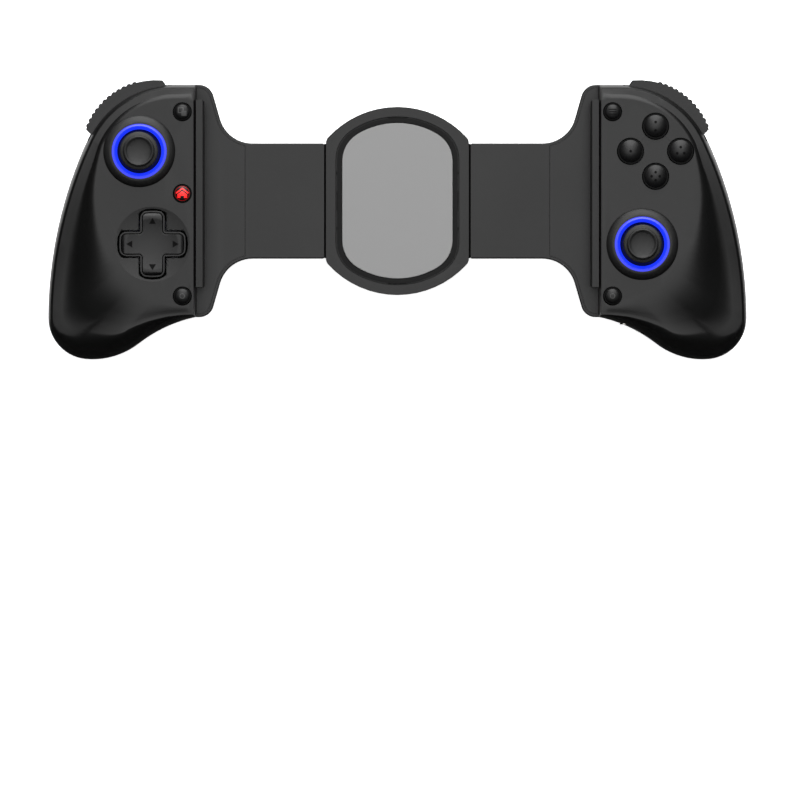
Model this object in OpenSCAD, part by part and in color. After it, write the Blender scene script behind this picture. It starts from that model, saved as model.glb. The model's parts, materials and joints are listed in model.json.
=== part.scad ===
// Stretch game controller for a phone, lying on its back with the controls facing up.
// Sizes in millimetres. X runs along the phone, Y up the grips, Z out of the front face.
// The two grips slide apart on a rail, and two racks on one pinion keep them in step.

/* [Bridge and slide] */
// Clear length between the two phone pads with the bridge closed
phone_gap = 142.8; // [140:0.2:146]
// How far each grip slides outwards
slide_travel = 28; // [16:1:28]
// Height of the front panels above the bridge
phone_recess = 15.5; // [14.5:0.5:16.5]
// Height of the bridge sleeves, measured up the grips
sleeve_h = 42.7; // [42:0.1:45]
// Thickness of the bridge sleeves
sleeve_t = 9.5; // [9:0.1:10.5]
// Gap between a closed sleeve and the centre frame
mouth_gap = 0.7; // [0.5:0.1:1.2]
// Radius of the concave sweep from sleeve to neck
neck_sweep_r = 12.5; // [11:0.5:14]
// Radius of the outer corners of the neck
neck_corner_r = 5.4; // [4.5:0.1:6]
// Slope of the neck sides away from upright
neck_slope = 16; // [10:1:20]

/* [Centre frame] */
// Radius of the round ends of the centre frame
centre_r = 34.85; // [34:0.05:36]
// Half width of the centre frame
centre_half_w = 26.5; // [25:0.1:27.5]
// Radius of the corners of the centre frame
centre_corner_r = 3; // [2:0.5:5]
// Width of the frame around the slit of the insert
centre_rim_w = 3.6; // [3:0.1:4.2]
// Width of the slit around the insert
slit_w = 0.6; // [0.4:0.1:0.9]
// Width of the raised rim of the insert
insert_rim_w = 1.7; // [1.2:0.1:2.4]
// Radius of the corners of the insert
insert_corner_r = 13; // [11:0.5:15]
// Height of the centre frame above the sleeves
centre_proud = 1; // [0.6:0.1:1.6]

/* [Grip] */
// Width of one grip
grip_w = 54.8; // [53:0.2:58]
// Height of the inner wall of a grip
grip_h = 86.1; // [84:0.1:89]
// Depth of a grip from its back to the front panel
grip_depth = 36; // [35:0.5:38]
// Radius of the upper shoulder
shoulder_r = 35; // [34:0.5:36]
// Distance from the inner wall to the start of the shoulder
shoulder_x = 8.4; // [7.5:0.1:9.5]
// Radius of the outer side
side_r = 158; // [140:2:200]
// Radius of the outer corner of the handle end
handle_r = 15.3; // [14:0.1:17]
// How far the centre of that corner lies below the middle of the bridge
handle_drop = 43.4; // [42:0.1:45]
// Radius of the under side of the handle end
heel_r = 28; // [24:0.5:32]
// Radius of the hollow between handle and inner wall
waist_r = 52; // [46:1:60]
// Wall thickness of the shells
wall = 2; // [1.8:0.1:2.2]
// Width of the rounded edge along the top
roll_top = 1.9; // [1.5:0.1:2.4]
// Width of the rounded edge under the handle
roll_heel = 9.5; // [7:0.25:10.5]
// Width of the rounding at the inner wall
roll_inner = 0.8; // [0.5:0.1:1.2]
// Width of the flange between the top edge and the step up to the panel
flange_w = 1.9; // [1.4:0.1:2.4]
// Height of that step along the top
step_h = 0.75; // [0.5:0.05:1.2]
// Depth that the flange reaches below the panel at the handle
handle_fall = 6.5; // [5:0.25:8]
// Outward lean of the flange, as rise over run
flange_lean = 0.08; // [0:0.02:0.16]

/* [Phone pads] */
// How far a phone pad stands out of the inner wall
pad_proud = 3.2; // [2.6:0.1:4]
// Upper end of a phone pad
pad_top = 37.2; // [34:0.2:39]
// Lower end of a phone pad
pad_bottom = -32.1; // [-36:0.1:-28]
// How far a phone pad lies below the front panel
pad_below = 2.4; // [1.6:0.2:4]

/* [Controls] */
// Distance of the upper control from the inner wall
upper_x = 20.8; // [20:0.1:21]
// Height of the upper control above the middle of the bridge
upper_y = 18.1; // [17.5:0.1:18.6]
// Distance of the lower control from the inner wall
lower_x = 15.9; // [15.5:0.1:17]
// Height of the lower control above the middle of the bridge
lower_y = -16.2; // [-17:0.1:-15]
// Distance of the small buttons from the inner wall
edge_x = 4.9; // [4.7:0.1:5.6]
// Height of the upper small button
edge_top = 32.7; // [32:0.1:33.2]
// Height of the lower small button
edge_bottom = -35.4; // [-36:0.1:-34.6]
// Height of the home button
home_y = 2.5; // [1:0.1:4]
// Diameter of a small button
edge_d = 6.4; // [6:0.1:6.8]
// Diameter of a face button
face_d = 9.4; // [9:0.1:10]
// Distance of the face buttons from their middle
face_pitch = 9.25; // [9:0.05:9.4]
// Gap around a button
button_gap = 0.35; // [0.3:0.05:0.45]
// Travel of a face button
face_travel = 0.9; // [0.5:0.1:1]
// Travel of a small button
edge_travel = 0.5; // [0.3:0.1:0.6]
// Span of the direction pad
dpad_span = 25.2; // [24:0.2:26]
// Width of an arm of the direction pad
dpad_arm = 9.2; // [8.6:0.1:9.6]
// Gap around the direction pad
dpad_gap = 0.55; // [0.5:0.05:0.7]

/* [Sticks] */
// Diameter of the raised collar around a stick at the panel
collar_d = 26.6; // [26:0.1:27]
// Height of the collar
collar_h = 2; // [1.6:0.1:2.4]
// Outer diameter of the light ring
ring_d = 20.2; // [19.8:0.1:20.6]
// Inner diameter of the light ring
well_d = 16.3; // [16.1:0.1:16.6]
// Diameter of the thumb cap
cap_d = 14.2; // [13:0.1:14.6]
// Diameter of the raised rim on the thumb cap
cap_rim_d = 11.4; // [10.4:0.1:11.8]
// Height of the thumb cap above the panel
cap_top = 10; // [9.6:0.1:11]

/* [Bumpers and triggers] */
// Radius of the outer face of a bumper
bumper_r = 27.5; // [27:0.1:28]
// How far a bumper stands out of the shoulder
bumper_proud = 3.5; // [3:0.1:4]
// Thickness of a bumper along Z
bumper_t = 7.9; // [7:0.1:8]
// Height of the ridges on a bumper
ridge_h = 0.45; // [0.2:0.05:0.6]
// Number of ridges on a bumper
ridges = 12; // [8:1:14]
// Width of a trigger
trigger_w = 19.2; // [16:0.2:19.6]

/* [Hidden] */
$fn = 64;
clear = 0.1;
run = 0.05;
bump_gap = 0.3;
bridge_z = grip_depth - phone_recess;
bridge_back = bridge_z - sleeve_t;
x_in = phone_gap / 2 + pad_proud;
half_h = grip_h / 2;
half_s = sleeve_h / 2;
mouth = centre_half_w + mouth_gap;
// rail, racks and pinion
cave_z0 = bridge_back + 1.6;
cave_z1 = bridge_z - 2;
rail_z0 = cave_z0 + 0.2;
rail_z1 = cave_z1 - 0.2;
rail_half_h = half_s - 2.15;
cave_half_h = rail_half_h + 0.2;
rail_end = x_in - 6.6;
cave_end = x_in - 3.4;
track_z1 = rail_z1 - 1.1;
gear_m = 0.8;
gear_n = 18;
gear_r = gear_m * gear_n / 2;
gear_base = gear_r * cos(20);
gear_root = gear_r - 1.25 * gear_m;
gear_tip = gear_r + 0.95 * gear_m;
backlash = 0.14;
tooth_pitch = PI * gear_m;
rack_back = gear_r + 1.25 * gear_m + 3.2;
rack_in = -slide_travel - 5.5;
spring_y = rack_back + 3.8;
frame_z1 = bridge_z + centre_proud;
back_z0 = bridge_back - 1.2;
pocket_z = frame_z1 - 2;
// grip outline, drawn for the right hand
shoulder_c = [x_in + shoulder_x, half_h - shoulder_r];
handle_c = [x_in + grip_w - handle_r, -handle_drop];
inner_low = [x_in, -half_h];
side_c = meet(shoulder_c, side_r - shoulder_r, handle_c, side_r - handle_r);
heel_a = -85;
heel_c = handle_c + (handle_r - heel_r) * dir(heel_a);
waist_c = meet(inner_low, waist_r, heel_c, waist_r + heel_r);
side_a0 = aim(side_c, shoulder_c);
side_a1 = aim(side_c, handle_c);
heel_a1 = aim(heel_c, waist_c);
waist_a0 = aim(waist_c, heel_c);
waist_a1 = aim(waist_c, inner_low);
back_roll = handle_r - wall - 0.4;
under_z = grip_depth - wall;
board_z = grip_depth - 12;
board_t = 1.2;
usb_x = 12.2;
usb_y = -half_h - 2.8;
usb_w = 8.9;
usb_h = 3.2;
usb_z = board_z + 0.05 + usb_h / 2;
battery_x = 15.6;
battery_w = 19;
battery_l = 33;
battery_t = 7;
// controls
upper = [x_in + upper_x, upper_y];
lower = [x_in + lower_x, lower_y];
pivot_z = board_z + 5.5;
dpad_ball_z = board_z + 5.2;
dish_r = dpad_span / 2 + 1.2;
dish_h = 0.95;
cross_pin_r = 0.8;
cross_h = 2.1;
cross_dish_r = 9.8;
cross_dish_h = 0.8;
// bumper and trigger
bumper_lean = 55;
bumper_c = shoulder_c + (shoulder_r + bumper_proud - bumper_r) * dir(bumper_lean);
bumper_z1 = bridge_z + 10.2;
bumper_z0 = bumper_z1 - bumper_t;
bumper_pin = shoulder_c + (shoulder_r - 4.2) * dir(84);
trigger_a = 58;
trigger_axis = [shoulder_r - 6.5, bridge_z - 2.5];
// screw bosses, and how far each ends below the panel
boss_at = [[x_in + 5.2, 11.5], [x_in + 5.2, -26], handle_c + [-3, 1.6], [x_in + 34.5, 5.5]];
boss_low = [1.5, 1.5, 4.4, 1.5];
// tongue of the neck inside the grip
tongue_y0 = -31;
tongue_y1 = 24;
// middle of the part in Y moved to the origin
y_shift = -(bumper_c[1] + bumper_r + heel_c[1] - heel_r) / 2;

function dir(a) = [cos(a), sin(a)];
function aim(p, q) = atan2(q[1] - p[1], q[0] - p[0]);
function mix(p, t) = p[0] + (p[1] - p[0]) * t;
function arc(c, r, a0, a1, n) = [for (i = [0:n]) c + r * dir(a0 + (a1 - a0) * i / n)];

// Crossing of two circles that lies to the right of the way from the first centre to the second
function meet(c0, r0, c1, r1) =
    let (l = norm(c1 - c0))
    let (u = (c1 - c0) / l)
    let (a = (r0 * r0 - r1 * r1 + l * l) / (2 * l))
    c0 + a * u + sqrt(r0 * r0 - a * a) * [u[1], -u[0]];

// One stretch of the grip outline: point, outward normal, section there and point where the panel begins
function rows(c, r, a0, a1, n, turn, section, panel) = [
    for (i = [0:n - 1])
        let (t = i / n)
        let (d = dir(mix([a0, a1], t)))
        [c + r * d, turn * d, section(t), panel(t)]
];

// A section: edge rounding, flange width, depth of the flange, place of the steepest slope, back rounding
top_section = [roll_top, flange_w, step_h, 0, 5];
shoulder_section = [roll_top + 0.5, flange_w + 1.1, step_h + 0.2, 0, 7];
side_section = [roll_top, flange_w + 2.3, handle_fall, 0.25, back_roll];
heel_section = [roll_heel, 0, handle_fall / 2, 0.4, back_roll];
waist_section = [roll_heel * 0.66, 0, handle_fall / 8, 0.5, back_roll];
inner_section = [roll_inner, 0, 0.2, 0.5, 6];
wall_section = [0, 0, 0, 0, 0];
function sweep(p, q, t) = p + (q - p) * t;
function ease(t) = t * t * (3 - 2 * t);

// The flange deepens along the side, and the crease at its inner edge softens into a hollow
function side_sweep(t) =
    let (q = sweep(shoulder_section, side_section, t))
    let (fall = mix([shoulder_section[2], side_section[2]], ease(t)))
    let (back = mix([shoulder_section[4], back_roll], sqrt(t)))
    [q[0], q[1], fall, min(1.2 * t, 0.7 - 0.45 * t), back];

// The sharp edge of the side lasts until the heel turns under, and the hollow runs out along the heel
function run_out(q, t) = [q[0], q[1], mix([side_section[2], waist_section[2]], ease(t)), q[3], q[4]];
function handle_sweep(t) = run_out(sweep(side_section, heel_section, ease(t)), t * 0.52);
function heel_sweep(t) = run_out(sweep(heel_section, waist_section, ease(t)), 0.52 + t * 0.48);

// Beginning of the flat panel: inset along top and shoulder, then one bow down to the inner wall
top_inset = roll_top + 2 * flange_w;
shoulder_inset = top_inset + 0.7;
wall_inset = roll_inner + 2;
bow_0 = shoulder_c + (shoulder_r - shoulder_inset) * dir(side_a0);
bow_3 = [x_in + wall_inset, inner_low[1] + 3.6];
bow_1 = bow_0 + [9, -30];
bow_2 = bow_3 + [26, 1];
function bow(t) =
    let (u = 1 - t)
    u * u * u * bow_0 + 3 * u * u * t * bow_1 + 3 * u * t * t * bow_2 + t * t * t * bow_3;
function shoulder_panel(t) =
    shoulder_c + (shoulder_r - mix([top_inset, shoulder_inset], t)) * dir(mix([90, side_a0], t));

outline = concat(
    [for (i = [0:2])
        let (q = [x_in + shoulder_x * i / 3, half_h])
        [q, [0, 1], top_section, q + [wall_inset * (1 - i / 3), -top_inset]]],
    rows(shoulder_c, shoulder_r, 90, side_a0, 16, 1,
        function(t) sweep(top_section, shoulder_section, t), function(t) shoulder_panel(t)),
    rows(side_c, side_r, side_a0, side_a1, 16, 1,
        function(t) side_sweep(t), function(t) bow(0.7 * t - 0.12 * t * t)),
    rows(handle_c, handle_r, side_a1, heel_a, 14, 1,
        function(t) handle_sweep(t), function(t) bow(0.58 + 0.14 * t)),
    rows(heel_c, heel_r, heel_a, heel_a1, 10, 1,
        function(t) heel_sweep(t), function(t) bow(0.72 + 0.12 * t)),
    rows(waist_c, waist_r, waist_a0, waist_a1, 12, -1,
        function(t) sweep(waist_section, inner_section, t), function(t) bow(0.84 + 0.16 * t)),
    [[inner_low, [0, -1], inner_section, bow_3]],
    [for (y = [-28, -14, 0, 14, 28, half_h - top_inset - 0.6])
        [[x_in, y], [0, 0], wall_section, [x_in + wall_inset, y]]]
);

// Share of the way by which a point is drawn in from the inner wall
function near_wall(r) = max(0, 1 - (r[0][0] - x_in) / 12);

// Ring of shell points on the rounded edge: w is the depth below the surface, k the section's rounding
function ring(a, k, w, z) = [
    for (r = outline)
        let (s = 1 - cos(a))
        let (q = r[0] - r[1] * (r[2][k] * s + w))
        let (edge = (k == 0 ? roll_inner : 3) * s + w)
        let (fall = r[2][2] + flange_lean * r[2][1])
        [q[0] + edge * near_wall(r), q[1], z - (k == 0 ? fall * sin(a) : 0)]
];

// Height of the slope between flange (t = 0) and panel (t = 1), steepest at b
function rise(t, b) = t < b ? t * t / b : 1 - (1 - t) * (1 - t) / (1 - b);

// Ring of front shell points between the rounded edge and the panel, w below the surface
function slope_ring(t, w) = [
    for (r = outline)
        let (q = r[0] - r[1] * (r[2][0] + w) + [(roll_inner + w) * near_wall(r), 0])
        let (p = r[3] + [w * near_wall(r), 0])
        let (flange = min(0.6, max(0.05, r[2][1] / norm(p - q))))
        let (m = q + (p - q) * (flange + (1 - flange) * t))
        [m[0], m[1], grip_depth - w - r[2][2] * (1 - rise(t, r[2][3]))]
];

// Closed skin through rings of equal point count, its two ends fanned from a middle point
module loft(rings) {
    n = len(rings[0]);
    m = len(rings);
    mid = [x_in + 18, -2];
    points = concat([for (r = rings) each r],
        [[mid[0], mid[1], rings[0][0][2]], [mid[0], mid[1], rings[m - 1][0][2]]]);
    sides = [
        for (j = [0:m - 2])
            for (i = [0:n - 1])
                let (a = j * n + i)
                let (b = j * n + (i + 1) % n)
                each [[a, b, b + n], [a, b + n, a + n]]
    ];
    low = [for (i = [0:n - 1]) [m * n, (i + 1) % n, i]];
    high = [for (i = [0:n - 1]) [m * n + 1, (m - 1) * n + i, (m - 1) * n + (i + 1) % n]];
    polyhedron(points, concat(sides, low, high), convexity = 8);
}

module on_side(s) {
    translate([0, y_shift, 0]) mirror([s < 0 ? 1 : 0, 0, 0]) children();
}

module at(p, z = 0) {
    translate([p[0], p[1], z]) children();
}

module disc(p, r, z0, z1) {
    at(p, z0) cylinder(r = r, h = z1 - z0);
}

module block(x0, x1, y0, y1, z0, z1) {
    translate([x0, y0, z0]) cube([x1 - x0, y1 - y0, z1 - z0]);
}

// Ball that leaves a hollow of radius r and depth h in the plane z = 0
module hollow(r, h) {
    ball = (r * r + h * h) / (2 * h);
    translate([0, 0, ball - h]) sphere(r = ball, $fn = 160);
}

// Round plate cut off at both sides, with rounded corners
function round_plate(r, hw, rc) =
    let (cx = hw - rc)
    let (cy = sqrt((r - rc) * (r - rc) - cx * cx))
    let (a = atan2(cy, cx))
    let (q = concat(arc([cx, cy], rc, 0, a, 6), arc([0, 0], r, a + (90 - a) / 8, 90, 7)))
    let (h = concat(q, [for (i = [len(q) - 2:-1:0]) [-q[i][0], q[i][1]]]))
    concat(h, [for (i = [len(h) - 1:-1:0]) [h[i][0], -h[i][1]]]);

module plate_of(inset, z0, z1, corner) {
    translate([0, 0, z0])
        linear_extrude(z1 - z0)
            polygon(round_plate(centre_r - inset, centre_half_w - inset, corner));
}

module centre_frame() {
    pocket = centre_rim_w;
    color("#1b1b1d") difference() {
        plate_of(0, rail_z0, frame_z1, centre_corner_r);
        plate_of(pocket, pocket_z, frame_z1 + 1, insert_corner_r);
        block(-40, 40, -cave_half_h, cave_half_h, rail_z0 - 1, rail_z1 + clear);
        for (a = [0:90:270]) rotate(a) hook_slot(a % 180 == 0 ? centre_half_w : centre_r);
        for (x = [-1, 1], y = [-1, 1]) disc([x * 17, y * 25.6], 0.85, rail_z0 - 1, rail_z0 + 5);
    }
}

module hook_slot(reach) {
    out = reach - centre_rim_w;
    block(out - 3.2, out - 1.1, -4, 4, rail_z1, pocket_z + 1);
}

module centre_back() {
    color("#19191b") difference() {
        union() {
            plate_of(0, back_z0, rail_z0, centre_corner_r);
            for (x = [-14, 14]) disc([x, 0], 1.5, rail_z0 - 0.5, rail_z0 + 2.4);
        }
        for (x = [-1, 1], y = [-1, 1]) {
            disc([x * 17, y * 25.6], 1.1, back_z0 - 1, rail_z0 + 1);
            disc([x * 17, y * 25.6], 2.1, back_z0 - 1, back_z0 + 1.3);
        }
        disc([0, 0], 1.52, rail_z0 - 1.2, rail_z0 + 1);
    }
}

module centre_screws() {
    color("#4a4a4c") for (x = [-1, 1], y = [-1, 1]) {
        disc([x * 17, y * 25.6], 1.9, back_z0 + 0.1, back_z0 + 1.3);
        disc([x * 17, y * 25.6], 0.8, back_z0 + 1.3, rail_z0 + 4.5);
    }
}

module insert_bezel() {
    rim = centre_rim_w + slit_w;
    side = centre_half_w - rim;
    color("#202022") difference() {
        union() {
            plate_of(rim, pocket_z, frame_z1 + 0.4, insert_corner_r - slit_w);
            for (a = [0:90:270]) rotate(a) hook(a % 180 == 0 ? centre_half_w : centre_r);
            for (a = [0, 180], y = [-10.3, 10.3]) rotate(a)
                block(side - 1, side + 0.35, y - 0.5, y + 0.5, pocket_z + 0.05, frame_z1 - 0.5);
        }
        plate_of(rim + insert_rim_w, pocket_z + 1.1, frame_z1 + 1, insert_corner_r - 1.2);
    }
}

module hook(reach) {
    out = reach - centre_rim_w;
    block(out - 3, out - 1.3, -3.6, 3.6, rail_z1 + 0.3, pocket_z + 0.2);
    block(out - 1.3, out - 0.35, -3.5, 3.5, pocket_z + 0.05, frame_z1 - 0.9);
}

module contact_plate() {
    rim = centre_rim_w + slit_w + insert_rim_w + 0.12;
    color("#9b9b9b") plate_of(rim, pocket_z + 1.1, frame_z1 + 0.5, insert_corner_r - 1.3);
}

// Slide rail with tracks for the racks and springs, open at the back
module slide_rail() {
    color("#111112") difference() {
        block(-rail_end, rail_end, -rail_half_h, rail_half_h, rail_z0, rail_z1);
        for (a = [0, 180]) rotate(a) {
            block(rack_in - 1, rail_end + 1, gear_r - 1.6, rack_back + 0.2, rail_z0 - 1, track_z1);
            block(4, rail_end + 1, spring_y - 2.3, spring_y + 2.3, rail_z0 - 1, track_z1);
        }
        disc([0, 0], gear_tip + 0.4, rail_z0 - 1, track_z1);
        for (y = [-12, 12]) block(-rail_end - 1, rail_end + 1, y - 0.7, y + 0.7, rail_z1 - 0.45, rail_z1 + 1);
        disc([0, 0], 1.52, track_z1 - 1, track_z1 + 0.6);
        for (x = [-14, 14]) disc([x, 0], 1.6, rail_z0 - 1, rail_z0 + 2.6);
    }
}

module pinion_pin() {
    color("#8c8f94") disc([0, 0], 1.5, rail_z0 - 1.1, track_z1 + 0.5);
}

function involute(r) = let (c = acos(min(1, gear_base / r))) tan(c) * 180 / PI - c;
function flank(r) =
    90 / gear_n - backlash / gear_r * 180 / PI + involute(gear_r) - involute(max(r, gear_base));

module sync_pinion() {
    radii = [gear_root, gear_base, gear_base + 0.3, gear_r, gear_r + 0.35, gear_tip];
    teeth = [
        for (k = [0:gear_n - 1])
            let (a = 90 + k * 360 / gear_n)
            each concat([for (r = radii) r * dir(a - flank(r))],
                [for (i = [len(radii) - 1:-1:0]) radii[i] * dir(a + flank(radii[i]))])
    ];
    color("#d8d4c8") difference() {
        translate([0, 0, rail_z0 + 0.4]) linear_extrude(track_z1 - rail_z0 - 0.7) polygon(teeth);
        disc([0, 0], 1.5 + run, rail_z0, track_z1);
    }
}

module rack() {
    add = 0.85 * gear_m;
    tip = gear_r - add;
    root = gear_r + 1.2 * gear_m;
    k0 = ceil(rack_in / tooth_pitch);
    half_root = tooth_pitch / 4 - backlash + 1.2 * gear_m * tan(20);
    half_tip = tooth_pitch / 4 - backlash - add * tan(20);
    foot = rail_end + 0.6;
    teeth = [
        for (k = [k0:2])
            let (x = (k + 0.5) * tooth_pitch)
            each [[x - half_root, root], [x - half_tip, tip], [x + half_tip, tip], [x + half_root, root]]
    ];
    outer = [[foot, root], [foot, gear_r], [cave_end - run, gear_r], [cave_end - run, rack_back + 1]];
    color("#c9c5b9") translate([0, 0, rail_z0 + 0.4])
        linear_extrude(track_z1 - rail_z0 - 0.7)
            polygon(concat([[rack_in, rack_back], [rack_in, root]], teeth, outer,
                [[foot, rack_back + 1], [foot, rack_back]]));
}

module return_springs() {
    mid = (rail_z0 + track_z1) / 2;
    color("#9ea2a6") for (a = [0, 180]) rotate(a) translate([0, spring_y, mid]) rotate([0, 90, 0]) {
        translate([0, 0, 9]) difference() {
            cylinder(r = 1.8, h = rail_end - 16);
            translate([0, 0, 1]) cylinder(r = 1.2, h = rail_end - 18);
        }
        translate([0, 0, 4.6]) cylinder(r = 0.4, h = 4.6);
        translate([0, 0, rail_end - 7.2]) cylinder(r = 0.4, h = cave_end - rail_end + 6.8);
    }
}

// Half outline of sleeve and neck, from the mouth to the grip, then mirrored in Y
function wing_half(inset, x0) =
    let (r1 = neck_corner_r - inset)
    let (r2 = neck_sweep_r + inset)
    let (top = half_h - inset)
    let (low = half_s - inset)
    let (c1 = [x_in - 1.1, half_h - neck_corner_r])
    let (p1 = c1 + r1 * dir(180 - neck_slope))
    let (rise = low + r2 - r2 * sin(neck_slope))
    let (p2 = p1 - (p1[1] - rise) * [tan(neck_slope), 1])
    let (c2 = [p2[0] - r2 * cos(neck_slope), low + r2])
    concat(arc([x0 + 0.5, low - 0.5], 0.5, 180, 90, 4), arc(c2, r2, -90, -neck_slope, 12),
        arc(c1, r1, 180 - neck_slope, 90, 9), [[x_in, top]]);

function both(h) = concat(h, [for (i = [len(h) - 1:-1:0]) [h[i][0], -h[i][1]]]);

module wing() {
    seam = x_in - 18.2;
    color("#1c1c1e") difference() {
        union() {
            translate([0, 0, bridge_back]) linear_extrude(sleeve_t) polygon(both(wing_half(0, mouth)));
            block(x_in - 1, x_in + 10.4, tongue_y0, tongue_y1, bridge_back + 0.15, bridge_z - 0.15);
        }
        block(mouth - 1, cave_end, -cave_half_h, cave_half_h, cave_z0, cave_z1);
        translate([0, 0, bridge_z - 1.4]) linear_extrude(2) intersection() {
            polygon(both(wing_half(1.1, mouth)));
            translate([seam, -60]) square([x_in - seam + 4, 120]);
        }
        for (i = [0, 1]) disc(boss_at[i], 3.15, bridge_back - 1, bridge_z + 1);
    }
}

module wing_cover() {
    seam = x_in - 18.2 + 0.12;
    color("#1f1f21") translate([0, 0, bridge_z - 1.4]) linear_extrude(1.4) intersection() {
        polygon(both(wing_half(1.22, mouth)));
        translate([seam, -60]) square([x_in - 0.2 - seam, 120]);
    }
}

module phone_pad() {
    x0 = x_in - pad_proud;
    z1 = grip_depth - pad_below;
    color("#2a2a2c") difference() {
        block(x0, x_in - 0.05, pad_bottom, pad_top, bridge_z + 0.2, z1);
        for (y = [pad_bottom, pad_top])
            translate([x0, y, bridge_z]) rotate(45) cube([1, 1, 60], center = true);
        translate([x0, 0, z1]) rotate([0, 45, 0]) cube([0.9, 200, 0.9], center = true);
    }
}

module front_bowl() {
    inner = [for (a = [90, 60, 30, 0]) ring(a, 0, wall, bridge_z + (under_z - bridge_z) * sin(a))];
    outer = [for (a = [0, 15, 30, 45, 60, 75, 90]) ring(a, 0, 0, bridge_z + phone_recess * sin(a))];
    loft(concat([for (t = [1, 0.6, 0.3, 0]) slope_ring(t, wall)], inner,
        outer, [for (t = [0, 0.15, 0.3, 0.5, 0.75, 1]) slope_ring(t, 0)]));
}

module back_bowl() {
    outer = [for (a = [90, 82, 74, 66, 57, 47, 36, 24, 12, 0]) ring(a, 4, 0, bridge_z - bridge_z * sin(a))];
    inner = [for (a = [0, 22, 45, 68, 90]) ring(a, 4, wall, bridge_z - (bridge_z - wall) * sin(a))];
    loft(concat(outer, inner));
}

module sector(r0, r1, a0, a1, z0, z1) {
    at(shoulder_c, z0) rotate(a0) rotate_extrude(angle = a1 - a0)
        translate([r0, 0]) square([r1 - r0, z1 - z0]);
}

// Local frame of the trigger: X along its pin, Y away from the shoulder centre
module trigger_frame() {
    at(shoulder_c) rotate(trigger_a - 90) children();
}

module collar(p) {
    r0 = collar_d / 2;
    r1 = ring_d / 2 + 0.35;
    h = collar_h;
    at(p, grip_depth) rotate_extrude() polygon([
        [ring_d / 2 - 1, -1], [r0, -1], [r0, h * 0.05], [mix([r0, r1], 0.05), h * 0.25],
        [mix([r0, r1], 0.18), h * 0.46], [mix([r0, r1], 0.38), h * 0.66], [mix([r0, r1], 0.67), h * 0.84],
        [r1, h], [ring_d / 2 - 1, h]
    ]);
}

module front_shell(stick) {
    difference() {
        union() {
            front_bowl();
            collar(stick);
            for (i = [0:3]) disc(boss_at[i], 2.6, bridge_z, grip_depth - boss_low[i]);
        }
        disc(stick, ring_d / 2 + clear, bridge_z, grip_depth + 10);
        for (b = boss_at) disc(b, 0.85, bridge_z - 1, bridge_z + 8);
        sector(shoulder_r - 8.5, shoulder_r + 12, side_a0 - 1, 89, bridge_z - 1, bumper_z1 + bump_gap);
        for (y = [edge_top, edge_bottom])
            disc([x_in + edge_x, y], edge_d / 2 + button_gap, bridge_z, grip_depth + 1);
        children();
    }
}

module left_front_shell() {
    color("#3d3d3d") front_shell(upper) {
        disc([x_in + edge_x, home_y], edge_d / 2 + button_gap, bridge_z, grip_depth + 1);
        at(lower, grip_depth) hollow(dish_r, dish_h);
        at(lower, bridge_z) linear_extrude(phone_recess + 1) plus(dpad_gap);
    }
}

module right_front_shell() {
    color("#3d3d3d") front_shell(lower) {
        for (a = [0:90:270])
            disc(upper + face_pitch * dir(a), face_d / 2 + button_gap, bridge_z, grip_depth + 1);
        at(upper, grip_depth - 0.25) rotate(45) linear_extrude(1) square(face_pitch * sqrt(2), center = true);
        at([x_in + usb_x, usb_y], usb_z) port_bar(usb_w + 0.4, usb_h + 0.4, -9, 8);
    }
}

module back_shell() {
    color("#1a1a1c") difference() {
        union() {
            back_bowl();
            for (b = boss_at) disc(b, 3, wall - 0.5, bridge_z);
            disc(bumper_pin, 2.6, bridge_z - 5.5, bridge_z - 0.2);
            trigger_frame() for (s = [-1, 1])
                translate([s * (trigger_w / 2 + 1.75) - 1.15, shoulder_r - 11, bridge_z - 6])
                    cube([2.3, 8.2, 6]);
        }
        for (b = boss_at) {
            disc(b, 1.1, -1, bridge_z + 1);
            disc(b, 2.2, -1, 5);
        }
        disc(bumper_pin, 1.02, bridge_z - 4, bridge_z + 1);
        block(x_in - 1, x_in + 3, tongue_y0 - 0.2, tongue_y1 + 0.2, bridge_back, bridge_z + 1);
        trigger_frame() translate([-trigger_w / 2 - 0.4, shoulder_r - 10.5, -1])
            cube([trigger_w + 0.8, 30, bridge_z + 2]);
        trigger_frame() trigger_pin(1.02, 12.1);
    }
}

module trigger_pin(r, half) {
    translate([-half, trigger_axis[0], trigger_axis[1]]) rotate([0, 90, 0]) cylinder(r = r, h = 2 * half);
}

module pins() {
    color("#8c8f94") {
        disc(bumper_pin, 1, bridge_z - 3.9, bumper_z1 + 0.2);
        trigger_frame() trigger_pin(1, trigger_w / 2 + 2.2);
    }
}

module screws() {
    color("#4a4a4c") for (b = boss_at) {
        disc(b, 2, 3.2, 5);
        disc(b, 0.8, 5, bridge_z + 7);
    }
}

module board() {
    reach = x_in + grip_w - 17;
    color("#1f4d33") difference() {
        union() {
            translate([0, 0, board_z - board_t]) linear_extrude(board_t) polygon(concat(
                [[x_in + wall + 0.6, 37], [x_in + 8, 37], [x_in + 9.4, 34.4]],
                arc(shoulder_c, shoulder_r - 8, 80, 16, 10),
                [[reach, -8], [reach, -36], [x_in + 22, -44], [x_in + 7, -40.6]],
                [[x_in + wall + 0.6, -37.5]]));
            for (y = [edge_top, edge_bottom])
                at([x_in + edge_x, y], board_z) translate([-1.5, -1.5, 0]) cube([3, 3, 0.9]);
        }
        for (b = boss_at) disc(b, 3, board_z - 3, board_z + 1);
    }
}

module left_board() {
    board();
    color("#1f4d33") at([x_in + edge_x, home_y], board_z) translate([-1.5, -1.5, -0.1]) cube([3, 3, 1]);
}

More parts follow.
